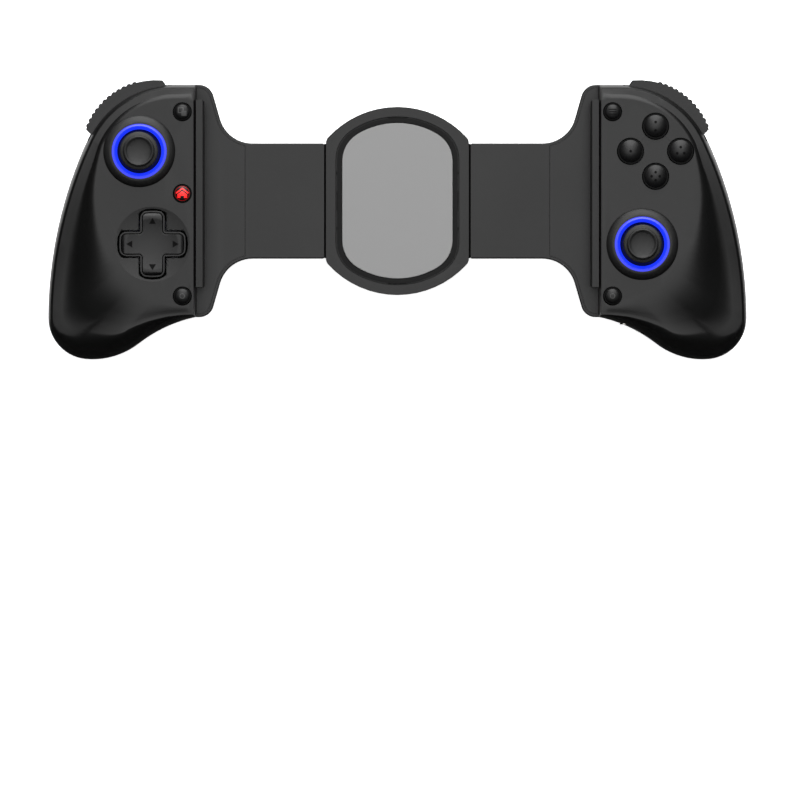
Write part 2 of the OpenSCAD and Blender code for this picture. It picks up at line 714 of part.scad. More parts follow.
module stick_base(p) {
    color("#2b2b2e") at(p) difference() {
        union() {
            block(-7.4, 7.4, -7.4, 7.4, board_z, board_z + 2);
            for (s = [-1, 1]) block(s * 6.5 - 0.7, s * 6.5 + 0.7, -2, 2, board_z + 1, pivot_z + 1.5);
        }
        translate([-9, 0, pivot_z]) rotate([0, 90, 0]) cylinder(r = 1 + run, h = 18);
    }
}

module stick_yoke(p) {
    color("#d5d2c8") at(p, pivot_z) {
        difference() {
            union() {
                translate([0, 0, -1.3]) cylinder(r = 4.6, h = 2.6);
                rotate([0, 90, 0]) translate([0, 0, -7]) cylinder(r = 1, h = 14);
            }
            translate([0, 0, -2]) cylinder(r = 3.1, h = 4);
            rotate([90, 0, 0]) translate([0, 0, -6]) cylinder(r = 0.8 + run, h = 12);
        }
    }
}

module stick_pivot(p) {
    color("#c2c0b8") at(p, pivot_z) difference() {
        union() {
            sphere(r = 2.6);
            rotate([90, 0, 0]) translate([0, 0, -4.3]) cylinder(r = 0.8, h = 8.6);
        }
        translate([0, 0, -5]) cylinder(r = 1.2 + run, h = 10);
    }
}

module stick_lever(p) {
    color("#b9b9bc") disc(p, 1.2, pivot_z - 2.4, grip_depth + cap_top - 3);
}

// Thumb cap and dust dome in one turned profile
module stick_cap(p) {
    top = grip_depth + cap_top - pivot_z;
    rim = cap_rim_d / 2;
    edge = cap_d / 2;
    dome = 9;
    color("#161617") at(p, pivot_z) rotate_extrude() polygon(concat(
        [[1.25, 8.1], [1.25, top - 2.9], [0, top - 2.9], [0, top - 1.1]],
        [[rim * 0.45, top - 0.95], [rim * 0.75, top - 0.6], [rim - 0.9, top - 0.1], [rim - 0.5, top]],
        [[rim - 0.15, top - 0.15], [rim, top - 0.6], [rim + 0.1, top - 1.1], [edge - 0.35, top - 1.3]],
        [[edge, top - 1.6], [edge, top - 2.7], [edge - 0.4, top - 3.1], [4.4, top - 3.7]],
        [[3.5, top - 4.6], [3.3, 8.6]],
        arc([0, 0], dome, 66, 9, 10),
        arc([0, 0], dome - 0.9, 10, 80, 10)
    ));
}

module light_ring(p) {
    r0 = well_d / 2;
    r1 = ring_d / 2;
    z = grip_depth + collar_h;
    color("#2038ff") at(p) rotate_extrude() polygon([
        [r0, under_z + 0.25], [r0 + 1.3, under_z + 0.1], [r0 + 1.4, under_z - 1.2], [r1 + 1.1, under_z - 1.2],
        [r1 + 1.1, under_z - 0.2], [r1, under_z - 0.2], [r1, z - 0.3], [r1 - 0.25, z + 0.1],
        [mix([r0, r1], 0.6), z + 0.35], [mix([r0, r1], 0.35), z + 0.1], [r0 + 0.25, z - 0.55], [r0, z - 1.2]
    ]);
}

// Outline of the direction pad with bowed arm ends, grown by g
module plus(g = 0) {
    a = dpad_arm / 2 + g;
    s = dpad_span / 2 + g;
    c = s - 1;
    tip = [[-a, c - 1.4], [-a + 0.35, c - 0.45], [-a + 1.3, c + 0.15], [-a / 2, s - 0.25], [0, s]];
    end = concat(tip, [for (i = [len(tip) - 2:-1:0]) [-tip[i][0], tip[i][1]]]);
    turn = function(p, q) q == 0 ? p : turn([p[1], -p[0]], q - 1);
    polygon([for (q = [0:3]) each concat([for (p = end) turn(p, q)], [turn([a, a], q)])]);
}

module dpad() {
    z = grip_depth;
    color("#1d1d1f") at(lower) difference() {
        union() {
            translate([0, 0, under_z - 2]) linear_extrude(wall + 1 + cross_h) plus(0);
            translate([0, 0, z]) linear_extrude(cross_h - 0.5) plus(-0.7);
            translate([0, 0, z]) linear_extrude(cross_h) plus(-1.3);
            translate([0, 0, dpad_ball_z + 0.6]) cylinder(r = 4, h = under_z - 1.9 - dpad_ball_z);
            for (y = [-3.55, 3.55]) block(-1.6, 1.6, y - 0.6, y + 0.6, dpad_ball_z - 1.5, dpad_ball_z + 1.5);
        }
        translate([0, 0, dpad_ball_z]) sphere(r = 2.1);
        translate([0, 0, dpad_ball_z]) cross_pin(cross_pin_r + run, 5);
        translate([0, 0, z + cross_h]) hollow(cross_dish_r, cross_dish_h);
    }
}

module cross_pin(r, half) {
    translate([0, half, 0]) rotate([90, 0, 0]) cylinder(r = r, h = 2 * half);
}

// Ball in the post, with the pin on which the direction pad rocks from side to side
module dpad_ball() {
    color("#8c8f94") at(lower, dpad_ball_z) {
        sphere(r = 2);
        cross_pin(cross_pin_r, 4.15);
    }
}

module dpad_post() {
    color("#d5d2c8") at(lower) difference() {
        translate([0, 0, board_z]) cylinder(r = 2.6, h = dpad_ball_z - 1.3 - board_z);
        translate([0, 0, dpad_ball_z]) sphere(r = 2.1);
    }
}

module dpad_membrane() {
    color("#6d7074") at(lower) difference() {
        union() {
            translate([0, 0, board_z]) cylinder(r = 10.2, h = 0.8);
            for (a = [0:90:270])
                at(8.2 * dir(a), board_z) cylinder(r1 = 3.2, r2 = 2.2, h = under_z - board_z - 2.7);
        }
        translate([0, 0, board_z - 1]) cylinder(r = 3, h = 3);
    }
}

module face_membrane() {
    color("#6d7074") at(upper) union() {
        translate([0, 0, board_z]) cylinder(r = face_pitch + 1, h = 0.8);
        for (a = [0:90:270]) at(face_pitch * dir(a), board_z) cylinder(r1 = 3.2, r2 = 2.6, h = 3.4);
    }
}

// Round button with a ledge around its domed top, held by two tabs; its stem reaches down to the switch
module button(p, d, tall, foot, dome, turn) {
    z1 = grip_depth + tall;
    tab = d / 2 + button_gap + 0.35;
    ledge = 0.55;
    at(p) {
        disc([0, 0], d / 2, under_z - 1.2, z1 - 1.15);
        intersection() {
            disc([0, 0], d / 2 - ledge, under_z - 1.2, z1);
            translate([0, 0, z1 - dome]) sphere(r = dome);
        }
        disc([0, 0], d / 2 - 0.8, foot, under_z - 1.1);
        rotate(turn) block(-1.2, 1.2, -tab, tab, under_z - 1.2, under_z - 0.5);
    }
}

module face_button(a) {
    color("#1d1d1f") button(upper + face_pitch * dir(a), face_d, 2.3, board_z + 3.6 + face_travel, 8.5, a);
}

module edge_button(y) {
    color("#1d1d1f") button([x_in + edge_x, y], edge_d, 1.7, board_z + 1.1 + edge_travel, 6.5, 0);
}

module battery() {
    color("#8f9aa6") at([x_in + battery_x, 0], wall + 0.3) block(0, battery_w, -battery_l, 0, 0, battery_t);
}

// Bar with half-round sides along Y, w wide and h high
module port_bar(w, h, y0, y1) {
    c = (w - h) / 2;
    translate([0, y1, 0]) rotate([90, 0, 0]) linear_extrude(y1 - y0)
        polygon(concat(arc([c, 0], h / 2, -90, 90, 10), arc([-c, 0], h / 2, 90, 270, 10)));
}

module usb_port() {
    tongue_h = 0.65;
    color("#b4b7bb") at([x_in + usb_x, usb_y], usb_z) union() {
        difference() {
            port_bar(usb_w, usb_h, 0, 7.3);
            port_bar(usb_w - 0.7, usb_h - 0.7, -1, 6.3);
        }
        block(-3.3, 3.3, 1.2, 6.5, -tongue_h / 2, tongue_h / 2);
    }
}

module bumper() {
    a0 = 95;
    a1 = 19.5;
    r0 = 73;
    r1 = 23;
    step = (r0 - r1) / (ridges - 1);
    low = step * 0.42;
    high = step * 0.2;
    tooth = [
        for (i = [0:ridges - 1])
            let (a = r0 - i * step)
            each [[a + low, 0], [a + high, ridge_h], [a - high, ridge_h], [a - low, 0]]
    ];
    face = concat([[a0, 0], [(a0 * 2 + r0) / 3, 0], [(a0 + r0 * 2) / 3, 0]], tooth, [[a1, 0]]);
    color("#2e2e30") difference() {
        translate([0, 0, bumper_z0]) linear_extrude(bumper_t) polygon(concat(
            [for (f = face) bumper_c + (bumper_r + f[1]) * dir(f[0])],
            arc(shoulder_c, shoulder_r - 1.2, side_a0 + 3, side_a0 + 3.2, 1),
            arc(shoulder_c, shoulder_r - 5.6, side_a0 + 3.4, 87.4, 12),
            [shoulder_c + (shoulder_r - 1.2) * dir(86.6)]));
        disc(bumper_pin, 1 + run, bumper_z0 - 1, bumper_z1 + 1);
    }
}

// Trigger swung on its pin, with a bowed finger face trimmed to lie under the bumper
module trigger() {
    y = trigger_axis[0];
    z = trigger_axis[1];
    side = concat(
        arc([y, z], 3, 250, 95, 8),
        [[y + 5.5, z + 3.2], [y + 8.6, z + 2.6], [y + 9.7, z + 1.2]],
        [[y + 9.2, z - 3.5], [y + 8.8, z - 7.5], [y + 9, z - 11], [y + 9.6, z - 13.6], [y + 9.2, z - 14.4]],
        [[y + 6, z - 14.7], [y + 3, z - 12.8], [y + 1.6, z - 7]]
    );
    color("#242426") difference() {
        intersection() {
            trigger_frame() translate([-trigger_w / 2, 0, 0])
                rotate([90, 0, 90]) linear_extrude(trigger_w) polygon(side);
            disc(bumper_c, bumper_r - 0.4, -1, bridge_z + 5);
        }
        trigger_frame() trigger_pin(1 + run, 30);
    }
}

on_side(1) centre_frame();
on_side(1) centre_back();
on_side(1) insert_bezel();
on_side(1) contact_plate();
on_side(1) slide_rail();
on_side(1) pinion_pin();
on_side(1) sync_pinion();
on_side(1) centre_screws();
on_side(1) return_springs();
on_side(-1) left_front_shell();
on_side(-1) back_shell();  // left_back_shell
on_side(-1) wing();  // left_wing
on_side(-1) wing_cover();  // left_wing_cover
on_side(-1) phone_pad();  // left_phone_pad
on_side(1) rotate(180) rack();  // left_rack
on_side(-1) left_board();
on_side(-1) stick_base(upper);  // left_stick_base
on_side(-1) light_ring(upper);  // left_light_ring
on_side(-1) screws();  // left_screws
on_side(-1) pins();  // left_pins
on_side(-1) dpad_post();
on_side(-1) dpad_membrane();
on_side(-1) battery();
on_side(-1) stick_yoke(upper);  // left_stick_yoke
on_side(-1) stick_pivot(upper);  // left_stick_pivot
on_side(-1) stick_lever(upper);  // left_stick_lever
on_side(-1) stick_cap(upper);  // left_stick_cap
on_side(-1) dpad();
on_side(-1) dpad_ball();
on_side(-1) edge_button(edge_top);  // view_button
on_side(-1) edge_button(edge_bottom);  // capture_button
on_side(-1) edge_button(home_y);  // home_button
on_side(-1) bumper();  // left_bumper
on_side(-1) trigger();  // left_trigger
on_side(1) right_front_shell();
on_side(1) back_shell();  // right_back_shell
on_side(1) wing();  // right_wing
on_side(1) wing_cover();  // right_wing_cover
on_side(1) phone_pad();  // right_phone_pad
on_side(1) rack();  // right_rack
on_side(1) board();  // right_board
on_side(1) stick_base(lower);  // right_stick_base
on_side(1) light_ring(lower);  // right_light_ring
on_side(1) screws();  // right_screws
on_side(1) pins();  // right_pins
on_side(1) face_membrane();
on_side(1) usb_port();
on_side(1) stick_yoke(lower);  // right_stick_yoke
on_side(1) stick_pivot(lower);  // right_stick_pivot
on_side(1) stick_lever(lower);  // right_stick_lever
on_side(1) stick_cap(lower);  // right_stick_cap
on_side(1) face_button(90);  // north_button
on_side(1) face_button(270);  // south_button
on_side(1) face_button(0);  // east_button
on_side(1) face_button(180);  // west_button
on_side(1) edge_button(edge_top);  // menu_button
on_side(1) edge_button(edge_bottom);  // turbo_button
on_side(1) bumper();  // right_bumper
on_side(1) trigger();  // right_trigger
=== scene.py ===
# %% [markdown]
# # A stretch phone controller
# The controller lies on its back with its controls facing up. Its solids, bodies and joints come packed
# from CAD, and this lesson dresses them: every moulding gets soft edges and a finish, the small marks and
# fasteners are modelled, and a camera and lights show it from straight above.

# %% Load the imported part
import json
import math

import bpy
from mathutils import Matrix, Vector

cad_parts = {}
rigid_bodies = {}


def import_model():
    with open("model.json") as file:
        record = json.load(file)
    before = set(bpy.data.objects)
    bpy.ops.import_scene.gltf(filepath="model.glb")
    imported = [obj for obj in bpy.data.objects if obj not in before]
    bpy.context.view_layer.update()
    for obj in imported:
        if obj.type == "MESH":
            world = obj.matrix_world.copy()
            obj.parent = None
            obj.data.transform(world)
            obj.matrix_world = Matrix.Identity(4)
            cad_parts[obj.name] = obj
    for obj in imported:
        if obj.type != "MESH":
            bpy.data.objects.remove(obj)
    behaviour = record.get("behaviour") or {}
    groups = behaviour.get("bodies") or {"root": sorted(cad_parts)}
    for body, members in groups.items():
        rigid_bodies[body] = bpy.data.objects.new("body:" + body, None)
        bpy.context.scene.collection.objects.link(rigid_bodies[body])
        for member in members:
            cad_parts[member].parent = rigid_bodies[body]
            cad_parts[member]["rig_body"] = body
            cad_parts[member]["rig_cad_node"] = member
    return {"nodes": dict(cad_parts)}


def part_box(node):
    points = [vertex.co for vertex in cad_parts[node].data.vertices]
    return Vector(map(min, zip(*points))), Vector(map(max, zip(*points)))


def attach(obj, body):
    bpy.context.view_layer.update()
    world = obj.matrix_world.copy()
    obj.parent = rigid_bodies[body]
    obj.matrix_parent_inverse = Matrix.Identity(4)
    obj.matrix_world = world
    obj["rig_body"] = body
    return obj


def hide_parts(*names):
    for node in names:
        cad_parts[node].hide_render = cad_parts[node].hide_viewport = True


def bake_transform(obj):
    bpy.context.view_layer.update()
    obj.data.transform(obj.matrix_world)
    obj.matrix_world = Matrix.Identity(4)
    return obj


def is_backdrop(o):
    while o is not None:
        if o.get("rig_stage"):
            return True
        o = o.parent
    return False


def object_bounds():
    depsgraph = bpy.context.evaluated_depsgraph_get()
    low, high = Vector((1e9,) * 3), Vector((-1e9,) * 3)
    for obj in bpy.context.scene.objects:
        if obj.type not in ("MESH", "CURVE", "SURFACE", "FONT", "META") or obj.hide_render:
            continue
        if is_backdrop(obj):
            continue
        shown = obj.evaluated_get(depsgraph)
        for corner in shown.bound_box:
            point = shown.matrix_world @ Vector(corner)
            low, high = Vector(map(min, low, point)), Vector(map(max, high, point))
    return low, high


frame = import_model()
cad_low, cad_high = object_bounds()
MM = 0.001
SIDES = ("left", "right")
TOUCH = 0.01 * MM
print("nodes", len(frame["nodes"]), "size in mm", [round(x / MM, 1) for x in cad_high - cad_low])

# %% [markdown]
# ## Working on one piece at a time
# Blender's operators act on everything that is selected, and the import leaves all CAD nodes selected. So
# each helper first selects the one piece that it works on. Edit mode is opened with all or nothing
# selected, and faces are then picked in code by where they are and which way they look.

# %% Helpers for selecting
def select_only(*pieces):
    bpy.ops.object.select_all(action="DESELECT")
    for piece in pieces:
        piece.select_set(True)
    bpy.context.view_layer.objects.active = pieces[0]


def edit(piece, select=True):
    select_only(piece)
    bpy.ops.object.mode_set(mode="EDIT")
    bpy.ops.mesh.select_mode(type="FACE")
    bpy.ops.mesh.select_all(action="SELECT" if select else "DESELECT")


def end_edit():
    bpy.ops.object.mode_set(mode="OBJECT")


def edit_faces(piece, test):
    """Opens edit mode with only those faces selected that pass the test."""
    edit(piece, select=False)
    end_edit()
    for face in piece.data.polygons:
        face.select = test(face)
    bpy.ops.object.mode_set(mode="EDIT")


def edit_edges(piece, test):
    """The same for edges; the test gets an edge's key, which is the numbers of its two points in order."""
    edit(piece, select=False)
    bpy.ops.mesh.select_mode(type="EDGE")
    end_edit()
    for edge in piece.data.edges:
        edge.select = test(tuple(edge.key))
    bpy.ops.object.mode_set(mode="EDIT")


def apply_modifier(piece, kind, **settings):
    """Adds a modifier with these settings and applies it at once."""
    modifier = piece.modifiers.new(kind.lower(), kind)
    for name, value in settings.items():
        setattr(modifier, name, value)
    select_only(piece)
    bpy.ops.object.modifier_apply(modifier=modifier.name)


def settle(name):
    """Names the primitive just added and moves its place, turn and size into its mesh."""
    piece = bpy.context.object
    piece.name = name
    bpy.ops.object.transform_apply(location=True, rotation=True, scale=True)
    return piece


def block(name, place, size):
    """A box around a place, as a start for a piece."""
    bpy.ops.object.select_all(action="DESELECT")
    bpy.ops.mesh.primitive_cube_add(size=1, location=place)
    bpy.context.object.scale = size
    return settle(name)


def combine(piece, tool, operation):
    """Joins, cuts or limits the piece with the tool, which is used up."""
    apply_modifier(piece, "BOOLEAN", object=tool, operation=operation, solver="EXACT", use_self=True)
    select_only(tool)
    bpy.ops.object.delete()


def join(name, pieces):
    select_only(*pieces)
    if len(pieces) > 1:
        bpy.ops.object.join()
    pieces[0].name = name
    return pieces[0]


# %% [markdown]
# ## Mouldings out of CAD solids
# The CAD meshes are loose triangles and stay untouched. A copy is merged, its flat faces are joined again,
# and its sharp edges get the small radius that a mould leaves, because an edge without one catches no light
# and looks drawn. Weighted normals keep the flat faces flat beside those roundings.

# %% A copy with moulded edges
def smooth(piece, angle=32):
    select_only(piece)
    bpy.ops.object.shade_smooth_by_angle(angle=math.radians(angle))
    apply_modifier(piece, "WEIGHTED_NORMAL", keep_sharp=True, weight=90)


def merged_copy(node, name, flat=0.4):
    """flat is the angle in degrees below which neighbouring faces become one."""
    piece = bpy.data.objects.new(name, frame["nodes"][node].data.copy())
    bpy.context.scene.collection.objects.link(piece)
    select_only(piece)
    bpy.ops.mesh.customdata_custom_splitnormals_clear()
    edit(piece)
    bpy.ops.mesh.remove_doubles(threshold=0.002 * MM)
    bpy.ops.mesh.dissolve_limited(angle_limit=math.radians(flat))
    end_edit()
    return piece


def take_over(piece, node):
    """Shows the piece in the node's stead and lets it ride on the node's body."""
    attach(piece, frame["nodes"][node]["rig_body"])
    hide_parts(node)


def round_edges(piece, edge, steps=2, sharp=38):
    """edge is the radius of the rounded edges in millimetres."""
    apply_modifier(piece, "BEVEL", width=edge * MM, segments=steps, limit_method="ANGLE",
                   angle_limit=math.radians(sharp), use_clamp_overlap=True, miter_outer="MITER_ARC")


def moulded_copy(node, name, edge, steps=2, flat=0.4, shape=None):
    """shape is called on the copy before its edges are rounded."""
    piece = merged_copy(node, name, flat)
    if shape:
        shape(piece)
    round_edges(piece, edge, steps)
    smooth(piece)
    take_over(piece, node)
    print(name, "faces", len(piece.data.polygons))
    return piece


# %% [markdown]
# ## Shader maths as arithmetic
# A finish is a small network of nodes. Drawing it by hand is fine in a window, but in a script it reads
# better as arithmetic, so this class wraps a socket: sums on it add Math nodes, and one method adds any
# other node.

# %% A socket that can be calculated with
class Wire:
    def __init__(self, tree, socket=None):
        self.tree = tree
        self.socket = socket

    def node(self, kind, settings=None, values=None, output=0):
        """Adds a node, sets its settings, fills or links its sockets, and returns one of its outputs."""
        made = self.tree.nodes.new("ShaderNode" + kind)
        for name, value in (settings or {}).items():
            if name == "stops":
                ramp = made.color_ramp.elements
                while len(ramp) < len(value):
                    ramp.new(1)
                for stop, (place, colour) in zip(ramp, value):
                    stop.position = place
                    stop.color = (*colour, 1)
            else:
                setattr(made, name, value)
        for key, value in (values or {}).items():
            if isinstance(value, Wire):
                self.tree.links.new(value.socket, made.inputs[key])
            else:
                made.inputs[key].default_value = value
        return Wire(self.tree, made.outputs[output] if made.outputs else None)

    def calculate(self, operation, first, second=0):
        return self.node("Math", {"operation": operation}, {0: first, 1: second})

    def __add__(self, other):
        return self.calculate("ADD", self, other)

    def __radd__(self, other):
        return self.calculate("ADD", other, self)

    def __sub__(self, other):
        return self.calculate("SUBTRACT", self, other)

    def __rsub__(self, other):
        return self.calculate("SUBTRACT", other, self)

    def __mul__(self, other):
        return self.calculate("MULTIPLY", self, other)

    def __rmul__(self, other):
        return self.calculate("MULTIPLY", other, self)


def new_finish(name):
    """An empty material, the Wire that starts its network and the object coordinates."""
    material = bpy.data.materials.new(name)
    material.use_nodes = True
    material.node_tree.nodes.clear()
    start = Wire(material.node_tree)
    return material, start, start.node("TexCoord", output="Object")


def shade(colour, factor):
    return tuple(min(1, c * factor) for c in colour) + (1,)


# %% [markdown]
# ## Moulded plastics and rubbers
# The housing is injection moulded in near-black plastic with a fine spark-eroded grain. Three layers make
# it: a broad cloudiness in the colour and gloss, as handled plastic has, the grain itself as bump, and
# corners that hands have polished a little. One function serves every moulding, with its own colour, grain
# size and gloss.

# %% Grained plastic
def moulding(name, colour, rough, grain, relief, gloss=0.25, spread=0.25, blotch=0.05, polish=0.04):
    """colour is linear RGB; grain and relief are the width and depth of the grain in millimetres."""
    material, start, place = new_finish(name)
    cloud = start.node("TexNoise", {}, {"Vector": place, "Scale": 38, "Detail": 4, "Roughness": 0.6})
    fine = start.node("TexNoise", {}, {"Vector": place, "Scale": 1 / (grain * MM), "Detail": 2})
    pits = start.node("TexVoronoi", {"feature": "F1"}, {"Vector": place, "Scale": 0.6 / (grain * MM)})
    corner = start.node("NewGeometry", output="Pointiness")
    worn = start.node("MapRange", {}, {"Value": corner, "From Min": 0.52, "From Max": 0.6})
    blend = cloud * 0.5 + fine * 0.3 + worn * 0.2
    tone = start.node("Mix", {"data_type": "RGBA"}, {
        0: blend, 6: shade(colour, 1 - spread), 7: shade(colour, 1 + spread)}, output=2)
    dull = rough + (cloud - 0.5) * (2 * blotch) + (fine - 0.5) * blotch - worn * polish
    bump = start.node("Bump", {}, {
        "Strength": 0.6, "Distance": relief * MM, "Height": fine * 0.6 + pits * 0.4})
    surface = start.node("BsdfPrincipled", {}, {
        "Base Color": tone, "Roughness": dull, "Normal": bump, "Specular IOR Level": gloss})
    start.node("OutputMaterial", {}, {"Surface": surface})
    return material


def dress(material, slot, *pieces):
    for piece in pieces:
        piece.data.materials.clear()
        piece.data.materials.append(material)
        "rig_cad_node" not in piece


panel_black = moulding("panel_black", (0.0045, 0.0045, 0.0045), 0.34, 0.16, 0.008, gloss=0.31)
back_black = moulding("back_black", (0.005, 0.005, 0.0052), 0.38, 0.3, 0.03, gloss=0.3)
bridge_black = moulding("bridge_black", (0.0055, 0.0055, 0.0056), 0.36, 0.16, 0.008, gloss=0.32)
rim_black = moulding("rim_black", (0.0045, 0.0045, 0.0046), 0.32, 0.12, 0.006, gloss=0.09)
plate_grey = moulding("plate_grey", (0.28, 0.28, 0.28), 0.62, 0.3, 0.02, gloss=0.4, spread=0.03)
pad_rubber = moulding("pad_rubber", (0.008, 0.008, 0.008), 0.5, 0.2, 0.015, gloss=0.34)
stick_rubber = moulding("stick_rubber", (0.006, 0.006, 0.006), 0.62, 0.14, 0.012, gloss=0.55)
collar_satin = moulding("collar_satin", (0.006, 0.006, 0.006), 0.5, 0.16, 0.008, gloss=0.42)
key_black = moulding("key_black", (0.003, 0.003, 0.0032), 0.36, 0.1, 0.002, gloss=0.32)
bumper_charcoal = moulding("bumper_charcoal", (0.007, 0.007, 0.0072), 0.42, 0.14, 0.01, gloss=0.32)
skirt_painted_shade = moulding("skirt_painted_shade", (0.0025, 0.0025, 0.0026), 0.6, 0.1, 0.002, gloss=0.09)
rail_black = moulding("rail_black", (0.004, 0.004, 0.004), 0.35, 0.12, 0.005)
slit_shade_felt = moulding("slit_shade_felt", (0.0025, 0.0025, 0.0025), 0.9, 0.12, 0.05, gloss=0.04)
print("mouldings", len(bpy.data.materials))

# %% [markdown]
# ## Housing and controls
# Shells, bridge and controls have their true shape in CAD, so each is a moulded copy. Big shells take a
# small edge radius, because their seams are tight, and the finger pieces take a larger one.

# %% Places on the mouldings
def centre_of(node):
    low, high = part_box(node)
    return (low + high) / 2


def away(centre, point):
    """Distance seen from above."""
    return math.hypot(point.x - centre.x, point.y - centre.y)


def paint(piece, material, test):
    """Gives a second finish to the faces whose corners all pass the test."""
    piece.data.materials.append(material)
    for face in piece.data.polygons:
        if all(test(piece.data.vertices[corner].co) for corner in face.vertices):
            face.material_index = len(piece.data.materials) - 1


# %% [markdown]
# ## Dish and neck
# The direction pad lies in a shallow dish. On the CAD mesh it has few facets, so a ball of many rings cuts
# it once more, and its rim is marked sharp, because smooth shading would wipe away so faint an edge. The
# necks end in a thin rolled edge, and they reach a little under the wall of the grip, so that no light
# shows through the seam.

# %% Dish and neck outline
PANEL_TOP = 36 * MM
DISH_RADIUS, DISH_DEPTH, DISH_RINGS = 13.85 * MM, 0.97 * MM, 240
RIM_BAND, RIM_ANGLE = 1 * MM, math.radians(4)
COLLAR_RADIUS, COLLAR_FOOT = 13.5 * MM, PANEL_TOP - 0.05 * MM
NECK_ROLL, NECK_REACH, WALL_PLAY = 0.4 * MM, 0.3 * MM, 0.05 * MM


def ball(place, radius, depth, rings):
    """A big ball whose lowest cap, of this radius and depth, cuts a dish into a face at this place."""
    size = (radius ** 2 + depth ** 2) / (2 * depth)
    bpy.ops.object.select_all(action="DESELECT")
    bpy.ops.mesh.primitive_uv_sphere_add(segments=96, ring_count=rings, radius=size,
                                         location=place + Vector((0, 0, size - depth)))
    return settle("ball")


def fine_dish(panel):
    """Cuts the direction pad's dish again with a finer ball and marks its rim as sharp."""
    middle = centre_of("dpad")
    place = Vector((middle.x, middle.y, PANEL_TOP))
    combine(panel, ball(place, DISH_RADIUS, DISH_DEPTH, DISH_RINGS), "DIFFERENCE")
    edit(panel, select=False)
    bpy.ops.mesh.select_mode(type="EDGE")
    bpy.ops.mesh.edges_select_sharp(sharpness=RIM_ANGLE)
    end_edit()
    points = panel.data.vertices
    near = {point.index for point in points if abs(away(middle, point.co) - DISH_RADIUS) < RIM_BAND}
    steep = [tuple(edge.key) for edge in panel.data.edges if edge.select]
    rim = {key for key in steep if near.issuperset(key)}
    edit_edges(panel, lambda key: key in rim)
    bpy.ops.mesh.mark_sharp()
    end_edit()
    print("rim edges", len(rim))


def neck_outline(neck):
    """Lets the end of a neck reach under the wall of its grip and rolls its long top and bottom edges."""
    wall_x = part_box("right_front_shell")[0].x
    outwards = math.copysign(NECK_REACH, neck.data.vertices[0].co.x)
    edit_faces(neck, lambda face: abs(face.normal.x) > 0.99
               and abs(abs(face.center.x) - wall_x) < WALL_PLAY)
    bpy.ops.transform.translate(value=(outwards, 0, 0))
    end_edit()
    heights = [point.co.z for point in neck.data.vertices]
    levels = (min(heights), max(heights))
    outline = set()
    for face in neck.data.polygons:
        corners = [heights[corner] for corner in face.vertices]
        long_wall = abs(face.normal.z) < 0.1 and abs(face.normal.x) < 0.98
        if long_wall and all(min(abs(z - level) for z in corners) < TOUCH for level in levels):
            outline.update(key for key in face.edge_keys if abs(heights[key[0]] - heights[key[1]]) < TOUCH)
    edit_edges(neck, lambda key: key in outline)
    bpy.ops.mesh.bevel(offset=NECK_ROLL, segments=4, affect="EDGES")
    end_edit()
    print("rolled edges", len(outline))


# %% Shells and bridge
for side in SIDES:
    panel = moulded_copy(f"{side}_front_shell", f"{side}_panel", 0.18, flat=0.05,
                         shape=fine_dish if side == "left" else None)
    dress(panel_black, "front_black", panel)
    stick = centre_of(f"{side}_light_ring")
    paint(panel, collar_satin, lambda point: away(stick, point) < COLLAR_RADIUS and point.z > COLLAR_FOOT)
    dress(back_black, "back_black", moulded_copy(f"{side}_back_shell", f"{side}_back", 0.18, flat=0.05))
    neck = moulded_copy(f"{side}_wing", f"{side}_neck", 0.06, shape=neck_outline)
    dress(bridge_black, "bridge_black", neck, moulded_copy(f"{side}_wing_cover", f"{side}_neck_cover", 0.06))
    dress(pad_rubber, "pad_rubber", moulded_copy(f"{side}_phone_pad", f"{side}_pad", 0.3))

dress(bridge_black, "bridge_black", moulded_copy("centre_frame", "oval_frame", 0.4, 3))
dress(bridge_black, "bridge_black", moulded_copy("centre_back", "oval_back", 0.4))
dress(rim_black, "rim_black", moulded_copy("insert_bezel", "oval_rim", 0.75, 4))
dress(plate_grey, "plate_grey", moulded_copy("contact_plate", "oval_plate", 0.3))
dress(rail_black, "rail_black", moulded_copy("slide_rail", "rail", 0.15))

# %% [markdown]
# ## Slit fillers
# The slit between the frame and each sleeve is painted shade: a thin block of dark felt sits on the side of
# the frame, around the rail, and fills the slit, so it shows black right to its ends. It is a block with a
# Boolean window for the rail.

# %% Dark felt in the slit, as painted shade
FILLER_THICK, FILLER_PLAY, FILLER_SIDE, FILLER_RISE = 0.66 * MM, 0.1 * MM, 2 * MM, 1.3 * MM
frame_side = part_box("centre_frame")[1].x
rail_low, rail_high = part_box("slide_rail")
width, height = rail_high.y - rail_low.y, rail_high.z - rail_low.z
for side, sign in zip(SIDES, (-1, 1)):
    place = (rail_low + rail_high) / 2
    place.x = sign * (frame_side + FILLER_THICK / 2)
    slit_filler = block(f"{side}_wiper", place, (FILLER_THICK, width + 2 * FILLER_SIDE, height + 2 * FILLER_RISE))
    window = block("window", place, (2 * FILLER_THICK, width + 2 * FILLER_PLAY, height + 2 * FILLER_PLAY))
    combine(slit_filler, window, "DIFFERENCE")
    round_edges(slit_filler, 0.12)
    smooth(slit_filler)
    # The felt's near-black colour stands in for the shade inside the slit.
    dress(slit_shade_felt, "rail_black", slit_filler)
    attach(slit_filler, "bridge")
    print(slit_filler.name, "faces", len(slit_filler.data.polygons))
